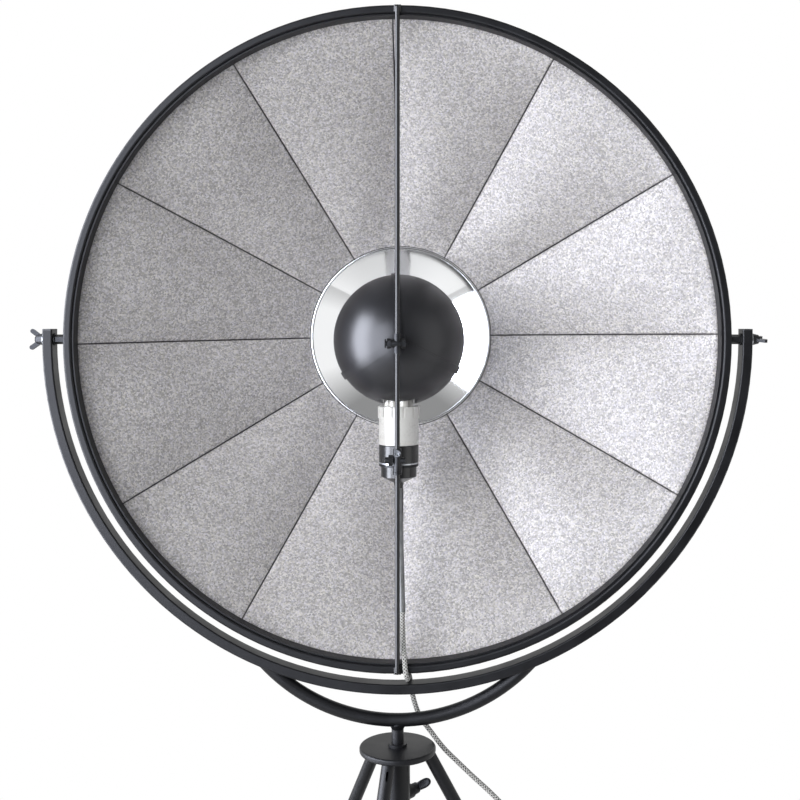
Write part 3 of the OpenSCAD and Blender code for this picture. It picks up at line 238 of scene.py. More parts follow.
FLOOR = [
    (172, -20.5, 48), (171, -23, 35), (168, -31, 20), (163, -45, 9), (158, -62, 3.6),
    (154, -82, 2.6), (151, -101, 3), (150, -115, 4.6), (150, -126, 6), (150, -139, 6),
]
TAIL = [
    (150, -211, 6), (150, -221, 6), (150, -232, 4.6), (150, -244, 3), (150, -258, 2.6),
    (150, -276, 2.6), (150, -294, 2.6),
]

# %% [markdown]
# The coil follows a rule: it winds in along the floor, climbs one layer in the half turn where
# it reverses, and winds out again on top.

# %% The coil's route
COIL_MEAN_R = 30
COIL_PITCH = 6.4
COIL_TURNS = 3.5
COIL_LOW_Z = 2.6
COIL_RISE = 5.8
COIL_STEPS = 48
PLUG_LEAD = 24
coil_out_r = COIL_MEAN_R + COIL_TURNS * COIL_PITCH / 2
coil_x, coil_y = TAIL[-1][0] - coil_out_r, TAIL[-1][1] - 6


def coil_point(t):
    climb = min(max((t - COIL_TURNS) / 0.5, 0), 1)
    wound_in = min(t, COIL_TURNS) - max(t - COIL_TURNS - 0.5, 0)
    radius = coil_out_r - COIL_PITCH * wound_in
    angle = -2 * math.pi * t
    height = COIL_LOW_Z + COIL_RISE * (1 - math.cos(math.pi * climb)) / 2
    return (coil_x + radius * math.cos(angle), coil_y + radius * math.sin(angle), height)


turns = 2 * COIL_TURNS + 0.5
plug_x, plug_z = coil_x - coil_out_r, COIL_LOW_Z + COIL_RISE
plug_lead = [(plug_x, coil_y + PLUG_LEAD * i / 6, plug_z) for i in range(1, 7)]
coil_route = [coil_point(i / COIL_STEPS) for i in range(int(turns * COIL_STEPS) + 1)]
print(f"coil of {turns} turns, {2 * coil_out_r + CORD_D:.0f} mm across")

# %% [markdown]
# A tube is a ring of points that slides along a line. Between the chosen points the line is a
# smooth curve through each of them: at every point its direction leans towards the nearer
# neighbour, so that close points don't make it loop. The ring must not twist either, so each
# ring takes over the last one's side direction and only tips it.


# %% Lines and rings
def smooth_line(points, step):
    """Points in mm along a curve through the given ones, and where in it each of them lies."""
    p = np.array(points, float)
    gaps = np.linalg.norm(np.diff(p, axis=0), axis=1)[:, None]
    slopes = np.diff(p, axis=0) / gaps
    inner = (slopes[:-1] * gaps[1:] + slopes[1:] * gaps[:-1]) / (gaps[:-1] + gaps[1:])
    slopes = np.vstack([slopes[:1], inner, slopes[-1:]])
    steps = np.broadcast_to(step, len(gaps))
    line, knots = [], []
    for i, gap in enumerate(gaps[:, 0]):
        knots.append(len(line))
        count = max(1, round(gap / steps[i]))
        for t in np.arange(count) / count:
            line.append((2 * t**3 - 3 * t**2 + 1) * p[i] + (3 * t**2 - 2 * t**3) * p[i + 1]
                        + gap * ((t**3 - 2 * t**2 + t) * slopes[i]
                                 + (t**3 - t**2) * slopes[i + 1]))
    return np.vstack([line, p[-1:]]), knots + [len(line)]


def length_along(line):
    steps = np.linalg.norm(np.diff(line, axis=0), axis=1)
    return np.concatenate([[0], np.cumsum(steps)])


def rings_along(line, radius, sides=16, side=(1, 0, 0)):
    heading = np.gradient(line, axis=0)
    heading /= np.linalg.norm(heading, axis=1)[:, None]
    side = np.array(side, float)
    angles = 2 * math.pi * np.arange(sides) / sides
    rings = []
    for at, ahead, r in zip(line, heading, np.broadcast_to(radius, len(line))):
        side = side - (side @ ahead) * ahead
        side /= np.linalg.norm(side)
        up = np.cross(ahead, side)
        rings.append(at + r * (np.outer(np.cos(angles), side) + np.outer(np.sin(angles), up)))
    return np.array(rings) * MM


# %% [markdown]
# The flex's cover is braided from matt cotton yarn, black over white, so it is soft and has no
# highlight. Two families of stripes wind round it in opposite directions, and where one lies
# over the other the colour changes. Real crossings lie under a millimetre apart, too fine to
# show at this size, so the stripes are drawn 3 mm apart along the cord.

# %% Braided cotton flex
BRAID_STEP = 3
BRAID_STARTS = 4

cotton_flex, tree, shader = material_of("cotton_flex", "#d8d8d6", 0.9)
shader.inputs["Sheen Weight"].default_value = 0.15
marks = put(tree, "ShaderNodeUVMap", uv_map="woven").outputs["UV"]
split = put(tree, "ShaderNodeSeparateXYZ", {0: marks})
along = put(tree, "ShaderNodeMath", {0: split.outputs[0], 1: 2 / (BRAID_STEP * MM)},
            operation="MULTIPLY").outputs[0]
families = []
for turn in (1, -1):
    wound = put(tree, "ShaderNodeMath", {0: split.outputs[1], 1: turn * 2 * BRAID_STARTS,
                                         2: along}, operation="MULTIPLY_ADD")
    families.append(put(tree, "ShaderNodeMath", {0: wound.outputs[0], 1: 1},
                        operation="PINGPONG").outputs[0])
crossed = put(tree, "ShaderNodeMath", {0: families[0], 1: families[1]}, operation="SUBTRACT")
above = put(tree, "ShaderNodeMapRange", {"Value": crossed.outputs[0], "From Min": -0.4,
                                         "From Max": -0.15}).outputs[0]
yarn = put(tree, "ShaderNodeMix", {0: above, 6: linear("#1c1c1e"), 7: linear("#e2e2e0")},
           data_type="RGBA").outputs[2]
swell = put(tree, "ShaderNodeMath", {0: families[0], 1: families[1]}, operation="MULTIPLY")
bump = put(tree, "ShaderNodeBump", {"Height": swell.outputs[0], "Distance": 0.3 * MM})
feed(tree, shader, Base_Color=yarn, Normal=bump.outputs[0])

# %% [markdown]
# The hung cord crosses four joints: the holder slides on the rod, the reflector tilts, and the
# post turns and rises. One piece can bend across one joint, so the cord is cut where the next
# joint begins. All its rings are made in one go, so that the braid runs on over each cut. In the
# narrow gap between rim and fork the rings lie close together, because there it bends most.

# %% The hung cord
STRETCHES = {"flex_upper": UPPER, "flex_drop": DROP, "flex_swing": SWING, "flex_fall": FALL,
             "flex_floor": FLOOR}
STANDS_FOR = {"flex_upper": "cord_upper", "flex_drop": "cord_drop", "flex_swing": "cord_fall",
              "flex_fall": "cord_fall", "flex_floor": "cord_floor"}
hung_points = [point for stretch in STRETCHES.values() for point in stretch]
steps = [0.6 if len(UPPER) - 3 <= i < len(UPPER) + 12 else 2.2
         for i in range(len(hung_points) - 1)]
hung_line, knots = smooth_line(hung_points, steps)
hung_rings = rings_along(hung_line, CORD_D / 2)
hung_length = length_along(hung_line)

cords, paths = {}, {}
first = count = 0
for name, stretch in STRETCHES.items():
    count += len(stretch)
    last = knots[count - 1]
    part = slice(first, last + 1)
    cords[name] = skin(name, hung_rings[part], cotton_flex, along=hung_length[part] * MM,
                       caps=True, replaces=[STANDS_FOR[name]])
    paths[name] = hung_line[part]
    print(f"{name}: {hung_length[last] - hung_length[first]:.0f} mm")
    first = last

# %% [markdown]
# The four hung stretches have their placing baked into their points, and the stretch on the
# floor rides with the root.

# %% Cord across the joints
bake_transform(cords["flex_upper"])
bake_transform(cords["flex_drop"])
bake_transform(cords["flex_swing"])
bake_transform(cords["flex_fall"])
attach(cords["flex_floor"], "root")

# %% [markdown]
# Near the hot lampholder the flex runs in a grey sleeve: woven glass fibre with a coat of
# silicone, smooth and a little shiny. It is an open tube, so its wall is made by going down the
# outside and back up the inside.

# %% Silicone-coated glass-fibre sleeve
SLEEVE_D = 6.6
SLEEVE_WALL = 0.5
SLEEVED = 9

silicone_sleeve = grained(
    material_of("silicone_glass_sleeve", "#8b8d90", 0.34, IOR=1.43, Coat_Weight=0.3),
    grain=1.2, depth=0.03, tones=("#76787b", "#96989b"), gloss=(0.28, 0.42), patch=9,
    stretch=(1, 1, 0.25))
sleeve_line = hung_line[: knots[SLEEVED - 1] + 1]
outside = rings_along(sleeve_line, SLEEVE_D / 2)
inside = rings_along(sleeve_line, SLEEVE_D / 2 - SLEEVE_WALL)
sleeve = skin("heat_sleeve", np.concatenate([outside, inside[::-1]]), silicone_sleeve,
              ring=True, replaces=["cord_sleeve"])
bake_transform(sleeve)

# %% [markdown]
# Behind the switch the flex goes on to the coil. Its end goes into the plug.

# %% The coiled tail
tail_line, _ = smooth_line(TAIL + coil_route + plug_lead, 2)
tail_rings = rings_along(tail_line, CORD_D / 2, sides=12)
tail_length = length_along(tail_line)
tail = skin("flex_tail", tail_rings, cotton_flex, body="root",
            replaces=["cord_tail", "cord_coil"], along=tail_length * MM,
            caps=True)
print(f"flex_tail: {tail_length[-1]:.0f} mm, hung cord {hung_length[-1]:.0f} mm")

# %% [markdown]
# The plug is moulded on: soft black PVC, matt from the mould's etched walls. It is lofted from a
# round neck to a flat oval face, with a waist where fingers grip it, and its strain relief is
# a cone of rings that lets the cord bend gently. Short guards of the same PVC hold the cord where
# it enters and leaves the switch.

# %% Moulded PVC
moulded_pvc = grained(material_of("moulded_pvc", "#1c1d1f", 0.5, IOR=1.53),
                      grain=0.8, depth=0.02, tones=("#191a1c", "#222325"), gloss=(0.45, 0.6))


def oval_ring(width, height, at_y, sides=48, power=3.2):
    """One ring of a loft along Y, between an ellipse (power 2) and a box."""
    angle = 2 * math.pi * np.arange(sides) / sides
    c, s = np.cos(angle), np.sin(angle)
    x = width / 2 * np.sign(c) * np.abs(c) ** (2 / power)
    z = height / 2 * np.sign(s) * np.abs(s) ** (2 / power)
    return np.stack([plug_x + x, np.full(sides, at_y), plug_z + z], axis=1) * MM


# %% Moulded plug and cord guards
PLUG_L = 32
RELIEF_L = 22
GUARD_L = 20
plug_back = coil_y + PLUG_LEAD + RELIEF_L
loft = [oval_ring(5.6, 5.6, plug_back - RELIEF_L, power=2)]
for i in range(6):
    y, d = plug_back - RELIEF_L + 0.4 + 3.5 * i, 7 + 0.62 * i
    loft += [oval_ring(d, d, y, power=2), oval_ring(d, d, y + 2, power=2),
             oval_ring(d - 1.6, d - 1.6, y + 2.3, power=2),
             oval_ring(d - 1.6, d - 1.6, y + 3.2, power=2)]
for share, width, height, power in [
        (0, 11, 11, 2), (0.02, 14.5, 14.5, 2), (0.1, 17, 16, 2.2), (0.25, 23, 16.4, 2.6),
        (0.42, 30, 16.2, 3), (0.55, 34, 15.2, 3.4), (0.7, 35, 14.6, 3.6), (0.85, 35.6, 15.6, 3.8),
        (0.96, 36, 16.4, 4), (1, 34.6, 15.2, 4), (1, 20, 8, 4), (1, 0.02, 0.02, 2)]:
    loft.append(oval_ring(width, height, plug_back + share * PLUG_L, power=power))
plug = skin("moulded_plug", np.array(loft), moulded_pvc, body="root", replaces=["plug_body"],
            caps=True)

print(f"plug {PLUG_L} mm long, with a {RELIEF_L} mm strain relief")

for name, line in (("guard_in", hung_line[::-1]), ("guard_out", tail_line)):
    start = line[length_along(line) <= GUARD_L + 1]
    share = length_along(start) / GUARD_L
    ribs = 0.25 * (np.sin(2 * math.pi * share * 7) > 0) * (share > 0.1)
    radius = np.maximum(4.1 - 1.1 * share + ribs - 0.25, CORD_D / 2 + 0.2)
    skin(name, rings_along(start, radius, sides=20), moulded_pvc, body="root",
                       caps=True)

# %% [markdown]
# The tail is added to the tables of cords and their paths, beside the hung stretches.

# %% Cords
cords["flex_tail"], paths["flex_tail"] = tail, tail_line

# %% [markdown]
# ## The reflector's cloth
# The silver lining is sewn from twelve gores. Ribs behind the seams carry it. Between two ribs
# the tight cloth is drawn towards the axis, so each gore is a shallow saddle and each seam a
# valley. The outer cover has the same cut and lies over the ribs. Both follow the ribs' own arc,
# moved in or out by the wire and the cloth. The sizes are in millimetres, from the pivots.

# %% The ribs' arc
PANELS = 12
SEAM_TURN = math.radians(0.9)
RIB_D = 4
RIB_BULGE = 12
RIB_RIM = np.array([328.5, 11.64])
RIB_HUB = np.array([110, 155.9])

chord = RIB_HUB - RIB_RIM
chord_l = np.linalg.norm(chord)
rib_arc_r = (chord_l**2 / 4 + RIB_BULGE**2) / (2 * RIB_BULGE)
outwards = np.array([chord[1], -chord[0]]) / chord_l
arc_centre = (RIB_RIM + RIB_HUB) / 2 - (rib_arc_r - RIB_BULGE) * outwards
print(f"ribs bend on a radius of {rib_arc_r:.0f} mm")

# %% [markdown]
# A cloth's columns run from rim to hub. Beside each seam they keep a fixed distance in
# millimetres from it, so that the fold stays as narrow at the rim as at the hub. The rest share
# out what is left. A list of folds then moves the points in or out along the cloth's normal.


# %% Sewn cloth
def gore_turns(radius, beside, between):
    """Angles of one gore's columns, from its seam to just before the next one."""
    gore = 2 * math.pi / PANELS
    near = np.array(beside) / radius
    middle = np.linspace(near[-1], gore - near[-1], between + 2)[1:-1]
    return np.concatenate([near, middle, gore - near[:0:-1]])


def sewn_cloth(inset, edge_y, inner_r, beside, between, rows, pillow, folds):
    """Points of a cloth on the ribs' arc moved out by inset, and their distance to a seam."""
    arc_r = rib_arc_r + inset
    start = math.asin((edge_y - arc_centre[1]) / arc_r)
    end = math.acos((inner_r - arc_centre[0]) / arc_r)
    half = math.pi / PANELS
    grid, seam = [], []
    for v in np.linspace(0, 1, rows):
        a = start + (end - start) * v
        r, y = arc_centre + arc_r * np.array([math.cos(a), math.sin(a)])
        turns = gore_turns(r, beside, between)
        free = 1 - abs(2 * v - 1) ** 3
        pull = free * (1 - math.cos(half) / np.cos(turns - half))
        drawn_in = pillow * free * (1 - ((turns - half) / half) ** 2)
        off = np.minimum(turns, 2 * half - turns) * r
        row, far = [], []
        for panel in range(PANELS):
            push = folds(panel, turns, off, arc_r * (a - start), arc_r * (end - a), r) - drawn_in
            radius = r * (1 - pull) + push * math.cos(a)
            angle = SEAM_TURN + 2 * half * panel + turns
            row.append(np.stack([radius * np.cos(angle), y + push * math.sin(a),
                                 radius * np.sin(angle)], axis=1))
            far.append(off)
        grid.append(np.concatenate(row))
        seam.append(np.concatenate(far))
    return np.array(grid) * MM + np.array(pivot), np.array(seam) * MM


# %% [markdown]
# Silver reflector cloth is a tightly woven fabric with a film of aluminium pigment. It is neither
# paper nor metal: it scatters light widely, and its crinkled film has grains of a millimetre or
# two, some a little warm and some a little lilac. Grains that small come from a cell pattern that
# sets both the tone and a small bump, so each one tips the light its own way. Along the seams the
# film is folded into a groove, and a dark line is painted there: partly the seam's thread, partly
# painted shade in the groove.

# %% Silver reflector cloth
silver_cloth, tree, shader = material_of("silver_reflector_cloth", "#c3c1c2", 0.5,
                                         Metallic=0.05, Specular_IOR_Level=0.15)
place = put(tree, "ShaderNodeTexCoord").outputs["Object"]
bent = put(tree, "ShaderNodeTexNoise", {"Vector": place, "Scale": 1 / (2 * MM), "Detail": 3})
moved = put(tree, "ShaderNodeMix", {0: 0.001, 4: place, 5: bent.outputs[1]},
            data_type="VECTOR").outputs[1]
grains = put(tree, "ShaderNodeTexVoronoi", {"Vector": moved, "Scale": 1 / (1.5 * MM)})
tint = put(tree, "ShaderNodeSeparateXYZ", {0: grains.outputs["Color"]})
clouds = put(tree, "ShaderNodeTexNoise", {"Vector": place, "Scale": 1 / (11 * MM), "Detail": 3})
tone = put(tree, "ShaderNodeMath", {0: clouds.outputs[0], 1: 0.5, 2: tint.outputs[0]},
           operation="MULTIPLY_ADD").outputs[0]
share = put(tree, "ShaderNodeMapRange", {"Value": tone, "From Min": 0.1, "From Max": 1.4})
film = put(tree, "ShaderNodeMix", {0: share.outputs[0], 6: linear("#a09fa0"),
                                   7: linear("#ffffff")}, data_type="RGBA").outputs[2]
hue = put(tree, "ShaderNodeMix", {0: tint.outputs[1], 6: linear("#fffcf7"),
                                  7: linear("#f9f7ff")}, data_type="RGBA").outputs[2]
warm = put(tree, "ShaderNodeMix", {0: 1, 6: film, 7: hue}, data_type="RGBA",
           blend_type="MULTIPLY").outputs[2]
# The dark line along each seam is painted: the thread, and painted shade in the groove.
from_seam = put(tree, "ShaderNodeAttribute", attribute_name="seam").outputs["Fac"]
seam_line_and_shade = put(tree, "ShaderNodeMapRange", {"Value": from_seam, "From Min": 0.35 * MM,
                                          "From Max": 1.1 * MM, "To Min": 0.95, "To Max": 0})
seam_line_shaded = put(tree, "ShaderNodeMix", {0: seam_line_and_shade.outputs[0], 6: warm, 7: linear("#3c3b3e")},
           data_type="RGBA").outputs[2]
dull = put(tree, "ShaderNodeMapRange", {"Value": tint.outputs[2], "To Min": 0.42,
                                        "To Max": 0.62}).outputs[0]
lift = put(tree, "ShaderNodeMath", {0: tint.outputs[0], 1: 0.6, 2: bent.outputs[0]},
           operation="MULTIPLY_ADD").outputs[0]
bump = put(tree, "ShaderNodeBump", {"Height": lift, "Distance": 0.5 * MM, "Strength": 0.5})
feed(tree, shader, Base_Color=seam_line_shaded, Roughness=dull, Normal=bump.outputs[0])

# %% [markdown]
# The lining is made in code and not by a simulation: it is stretched so tightly that
# only small folds are left. There is a groove at each seam, a row of faint puckers beside it
# from the sewing, ripples where the edge is drawn over the hoop, and a slow unevenness. The edge
# itself is turned outwards and lies flat behind the hoop.

# %% Lining
rng = np.random.default_rng(7)
lining_phase = rng.uniform(0, 2 * math.pi, (PANELS, 4))
HOOP_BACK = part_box("hoop")[1].y + 0.6 * MM


def lining_folds(panel, turns, off, from_rim, from_hub, r):
    a, b, c, d = lining_phase[panel]
    groove = 1.6 * np.exp(-((off / 0.8) ** 2))
    pucker = 0.22 * np.exp(-off / 9) * math.sin(from_rim / 2.1 + a)
    ripple = 0.45 * math.exp(-from_rim / 13) * np.sin(turns * r / 3.4 + b)
    slow = 0.7 * np.sin(turns * 9 + c) * math.sin(from_rim / 31 + d) * np.minimum(off / 20, 1)
    edge = min(1, from_hub / 12, from_rim / 8)
    return (groove + pucker + ripple + slow) * edge


lining_grid, lining_seam = sewn_cloth(
    inset=-RIB_D / 2 - 4.2, edge_y=8.4, inner_r=103.8, beside=(0, 0.45, 1.0, 2.0, 4.0, 8.0),
    between=14, rows=110, pillow=9, folds=lining_folds)
edge_row = lining_grid[:1] * [1, 0, 1] + [0, HOOP_BACK, 0]
axis_point = np.array([pivot.x, 0, pivot.z])
turned_out = [(edge_row - axis_point) * [scale, 1, scale] + axis_point for scale in (1.0145, 1.007)]
lining_grid = np.concatenate(turned_out + [lining_grid])
lining_seam = np.concatenate([lining_seam[:1], lining_seam[:1], lining_seam])
lining = skin("silver_lining", lining_grid, silver_cloth, body="shade", replaces=["lining"],
              values={"seam": lining_seam})

# %% [markdown]
# The outer cover is a matt black polyester, plain woven. Real threads lie about 0.35 mm apart,
# too fine to show here, so the weave is drawn four times as coarse and very shallow. Two waves
# at right angles make the over and under of the threads.

# %% Black woven polyester
THREAD = 1.4

black_cloth, tree, shader = material_of("black_woven_polyester", "#1a1b1d", 0.85,
                                        Sheen_Weight=0.25, Sheen_Roughness=0.4)
place = put(tree, "ShaderNodeTexCoord").outputs["Object"]
split = put(tree, "ShaderNodeSeparateXYZ", {0: place})
threads = []
for axis in (0, 2):
    count = put(tree, "ShaderNodeMath", {0: split.outputs[axis],
                                         1: 2 * math.pi / (THREAD * MM)}, operation="MULTIPLY")
    threads.append(put(tree, "ShaderNodeMath", {0: count.outputs[0]}, operation="SINE"))
weave = put(tree, "ShaderNodeMath", {0: threads[0].outputs[0], 1: threads[1].outputs[0]},
            operation="MULTIPLY").outputs[0]
clouds = put(tree, "ShaderNodeTexNoise", {"Vector": place, "Scale": 1 / (40 * MM), "Detail": 4})
worn = put(tree, "ShaderNodeMath", {0: weave, 1: 0.12, 2: clouds.outputs[0]},
           operation="MULTIPLY_ADD").outputs[0]
cloth_tone = put(tree, "ShaderNodeMix", {0: worn, 6: linear("#121315"), 7: linear("#26272a")},
                 data_type="RGBA").outputs[2]
bump = put(tree, "ShaderNodeBump", {"Height": weave, "Distance": 0.12 * MM, "Strength": 0.5})
feed(tree, shader, Base_Color=cloth_tone, Normal=bump.outputs[0])

# %% [markdown]
# Over each rib the cover is sewn into a pocket: a low ridge with a stitched groove on both sides.
# At the rim its edge is turned in and sewn down as a hem.

# %% Outer cover
cover_phase = rng.uniform(0, 2 * math.pi, (PANELS, 3))


def cover_folds(panel, turns, off, from_rim, from_hub, r):
    a, b, c = cover_phase[panel]
    pocket = 1.3 * np.maximum(np.cos(np.minimum(off / 5.2, 1) * math.pi / 2), 0) ** 0.7
    stitches = -0.7 * np.exp(-(((off - 6) / 0.9) ** 2)) * (1 + 0.5 * math.sin(from_rim / 0.8))
    hem = 0.9 * (from_rim < 13) - 0.7 * math.exp(-(((from_rim - 14) / 1.2) ** 2))
    slow = 0.8 * np.sin(turns * 8 + a) * math.sin(from_rim / 37 + b) * np.minimum(off / 25, 1)
    ripple = 0.35 * math.exp(-abs(from_rim - 16) / 9) * np.sin(turns * r / 4.1 + c)
    return (pocket + stitches + slow + ripple + hem) * min(1, from_hub / 10)


cover_grid, _ = sewn_cloth(
    inset=RIB_D / 2 + 1.0, edge_y=11, inner_r=104,
    beside=(0, 1.2, 2.6, 3.9, 5.1, 6.0, 7.0, 9.5), between=12, rows=120,
    pillow=7, folds=cover_folds)
cover = skin("black_cover", cover_grid, black_cloth, body="shade", replaces=["outer_cover"])

# %% [markdown]
# ## Metal and plastic
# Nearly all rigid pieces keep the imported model's shapes, which are exact, and get their real
# finishes. One line puts a finish on any number of them.


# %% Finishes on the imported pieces
def finish(material, *names):
    for name in names:
        nodes[name].data.materials.clear()
        nodes[name].data.materials.append(material)
    print(f"{material.name}: {', '.join(names)}")


# %% [markdown]
# The frame is steel, powder coated: sprayed with dry powder that melts in an oven. That gives a
# satin black with a faint blue cast and a grain like orange peel, about a millimetre wide. The
# thin rod across the front was dipped and stoved instead, and is glossy.

# %% Powder-coated steel and stoved enamel
powder_coat = grained(
    material_of("powder_coated_steel", "#17181b", 0.42, IOR=1.5, Specular_IOR_Level=0.28),
    grain=1.1, depth=0.03, tones=("#131417", "#1b1c20"), gloss=(0.36, 0.48))
finish(powder_coat, "leg_right", "leg_left", "leg_front", "tripod_disc", "column_tube",
       "column_collar", "spreader_hub", "spreader_struts", "stem", "crescent", "fork", "rim",
       "hoop", "hub_ring", "ribs", "back_cap")
stoved_enamel = grained(
    material_of("stoved_black_enamel", "#101113", 0.2, IOR=1.52),
    grain=2, depth=0.01, tones=("#0d0e10", "#131417"), gloss=(0.17, 0.26))
finish(stoved_enamel, "rod")

# %% [markdown]
# The dome is spun from sheet. It and its three straps are sprayed with a smoother satin lacquer,
# so the large lamp on the left shows in it as a soft oval.

# %% Lacquered spun steel
satin_lacquer = grained(
    material_of("satin_lacquered_steel", "#1d1e24", 0.36, IOR=1.5, Specular_IOR_Level=0.6),
    grain=2.5, depth=0.01, tones=("#1a1b21", "#212228"), gloss=(0.31, 0.36), patch=45)
finish(satin_lacquer, "dome", "dome_spider")

# %% [markdown]
# The screws and clamps are steel, blackened in a hot oxide bath: a metal under a thin black
# layer, so their highlights are sharper and greyer than the paint's.

# %% Black-oxide steel
black_oxide = grained(
    material_of("black_oxide_steel", "#2b2c2e", 0.4, Metallic=0.6),
    grain=0.9, depth=0.02, tones=("#202123", "#343538"), gloss=(0.3, 0.5), patch=12)
finish(black_oxide, "spreader_screws", "wing_nut_left", "wing_nut_right",
       "pivot_studs", "dome_clamp", "dome_clamp_screws", "slider", "thumb_screw",
       "holder_plate")

# %% [markdown]
# The wing screw that clamps the post is forged: a round shank and hub, and two flat ears that lean
# outwards. An ear is a row of flattened rings, wide in the middle and closed to a round end.

# %% The column's wing screw
SCREW_TURN, EAR_ROLL, EAR_LEAN = math.radians(50), math.radians(55), math.radians(28)
SHANK_D, TIP_R = 8, 6.4
HUB_D, HUB_R, HUB_H = 11.5, 21.5, 9
EAR_L, EAR_W, EAR_T = 19.78, 10, 3.4
screw_low, screw_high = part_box("column_screw")
screw_at = np.array([0, 0, (screw_low.z + screw_high.z) / 2 / MM])
outward = np.array([math.cos(SCREW_TURN), math.sin(SCREW_TURN), 0])
sideways = np.array([-math.sin(SCREW_TURN), math.cos(SCREW_TURN), 0])
upright = np.array([0, 0, 1.0])

shank = [(TIP_R, SHANK_D - 1.2), (TIP_R + 0.8, SHANK_D), (HUB_R - 0.6, SHANK_D),
         (HUB_R - 0.3, HUB_D - 1), (HUB_R + 0.5, HUB_D), (HUB_R + HUB_H - 1, HUB_D - 0.6),
         (HUB_R + HUB_H, HUB_D - 2.6)]
shank_rings = rings_along(np.array([screw_at + outward * r for r, _ in shank]),
                          np.array([d / 2 for _, d in shank]), sides=32, side=upright)
skin("wing_screw_shank", shank_rings, black_oxide, body="column_screw",
     replaces=["column_screw"], caps=True)

round_turn = 2 * math.pi * np.arange(28) / 28
flat_c, flat_s = (np.sign(wave) * abs(wave) ** 0.7
                  for wave in (np.cos(round_turn), np.sin(round_turn)))
for ear, side in (("upper", 1), ("lower", -1)):
    across = side * (math.cos(EAR_ROLL) * upright - math.sin(EAR_ROLL) * sideways)
    ahead = across * math.cos(EAR_LEAN) + outward * math.sin(EAR_LEAN)
    broad = np.cross(across, outward)
    thick = np.cross(ahead, broad)
    ear_root = screw_at + outward * (HUB_R + 5) - across
    rings = []
    for v in (1 - np.cos(np.linspace(0, math.pi, 22))) / 2:
        wide = EAR_W / 2 * (1 - abs(2 * v - 1) ** 2.6) ** 0.5 * (0.78 + 0.22 * v)
        deep = EAR_T / 2 * (1 - abs(2 * v - 1) ** 6) ** 0.5
        rings.append(ear_root + ahead * EAR_L * v + np.outer(flat_c, broad) * max(wide, 0.02)
                     + np.outer(flat_s, thick) * max(deep, 0.02))
    skin(f"wing_screw_{ear}_ear", np.array(rings) * MM, black_oxide, body="column_screw",
         replaces=["column_screw"], caps=True)
print(f"wing screw at {screw_at[2]:.0f} mm, ears of {EAR_L:.0f} mm")

# %% [markdown]
# Zinc plating is bright and slightly blue. It was tumbled, so it has small dull patches.

# %% Zinc-plated steel
zinc_plate = grained(
    material_of("zinc_plated_steel", "#c9ccd2", 0.25, Metallic=1),
    grain=1.5, depth=0.015, tones=("#b3b6bb", "#d4d7dc"), gloss=(0.2, 0.36), patch=8)
finish(zinc_plate, "pivot_washers", "hub_bolt", "slider_screw",
       "holder_ring")

# %% [markdown]
# Lampholders are pressed from phenolic resin, which stands the heat: black, hard and shiny. The
# switch and the caps of the fork are injection moulded with a finely etched, duller wall.

# %% Phenolic resin and moulded nylon
phenolic = grained(material_of("pressed_phenolic", "#18191b", 0.24, IOR=1.6),
                   grain=3, depth=0.01, tones=("#141517", "#1c1d1f"), gloss=(0.2, 0.3))
finish(phenolic, "holder_shell", "holder_cap", "cord_grip")
black_nylon = grained(material_of("moulded_nylon_black", "#1d1e20", 0.5, IOR=1.53),
                      grain=0.7, depth=0.02, tones=("#191a1c", "#242527"), gloss=(0.44, 0.58))
finish(black_nylon, "fork_bushes", "fork_end_caps", "switch_base", "switch_cover")
grey_nylon = grained(material_of("moulded_nylon_grey", "#3a3b3e", 0.45, IOR=1.53),
                     grain=0.7, depth=0.02, tones=("#343538", "#404144"), gloss=(0.4, 0.5))
finish(grey_nylon, "switch_button")
plain_nylon = grained(material_of("natural_nylon", "#e6e4dc", 0.42, IOR=1.53),
                      grain=1, depth=0.02, tones=("#dedcd3", "#ebe9e2"), gloss=(0.36, 0.48))
finish(plain_nylon, "stem_guide")

# %% [markdown]
# The dish is spun metal, polished and chromed. Chrome is neutral and very bright, and all that
# one sees in it is the room, the cloth and the dome. Faint rings from the spinning lathe are
# left under the plating, so the reflections are a little soft.

# %% Chromed spinning
chrome, tree, shader = material_of("chromed_spun_brass", "#f3f4f5", 0.06, Metallic=1)
place = put(tree, "ShaderNodeTexCoord").outputs["Object"]
centred = put(tree, "ShaderNodeVectorMath", {0: place, 1: pivot}, operation="SUBTRACT")
flat = put(tree, "ShaderNodeVectorMath", {0: centred.outputs[0], 1: (1, 0, 1)},
           operation="MULTIPLY")
radius = put(tree, "ShaderNodeVectorMath", {0: flat.outputs[0]}, operation="LENGTH")
ringed = put(tree, "ShaderNodeTexNoise", {"W": radius.outputs["Value"], "Scale": 1 / (1.5 * MM),
                                          "Detail": 3}, noise_dimensions="1D")
hazy = put(tree, "ShaderNodeTexNoise", {"Vector": place, "Scale": 1 / (35 * MM), "Detail": 3})
dull = put(tree, "ShaderNodeMapRange", {"Value": hazy.outputs[0], "To Min": 0.04,
                                        "To Max": 0.09}).outputs[0]
bump = put(tree, "ShaderNodeBump", {"Height": ringed.outputs[0], "Distance": 0.004 * MM})
feed(tree, shader, Roughness=dull, Normal=bump.outputs[0])

# %% [markdown]
# The dish is turned here, because its slope decides what it mirrors. The middle is a shallow cap.
# Outside it the wall rises at 30 degrees and more, so that it shows the front of the room past
# the dome. Its edge is rolled back to a bead. The outline runs out along the front, round the bead
# and back in behind, and ends at the hole for the bolt.

# %% The spun dish
DISH_R, DISH_T, BEAD_D, BOLT_R = 101.5, 1.2, 3.2, 3.1
SLOPES = {0: 0, 33: 7, 66: 29.5, 85: 33.5, DISH_R: 37}
bead_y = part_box("dish")[0].y / MM + BEAD_D / 2

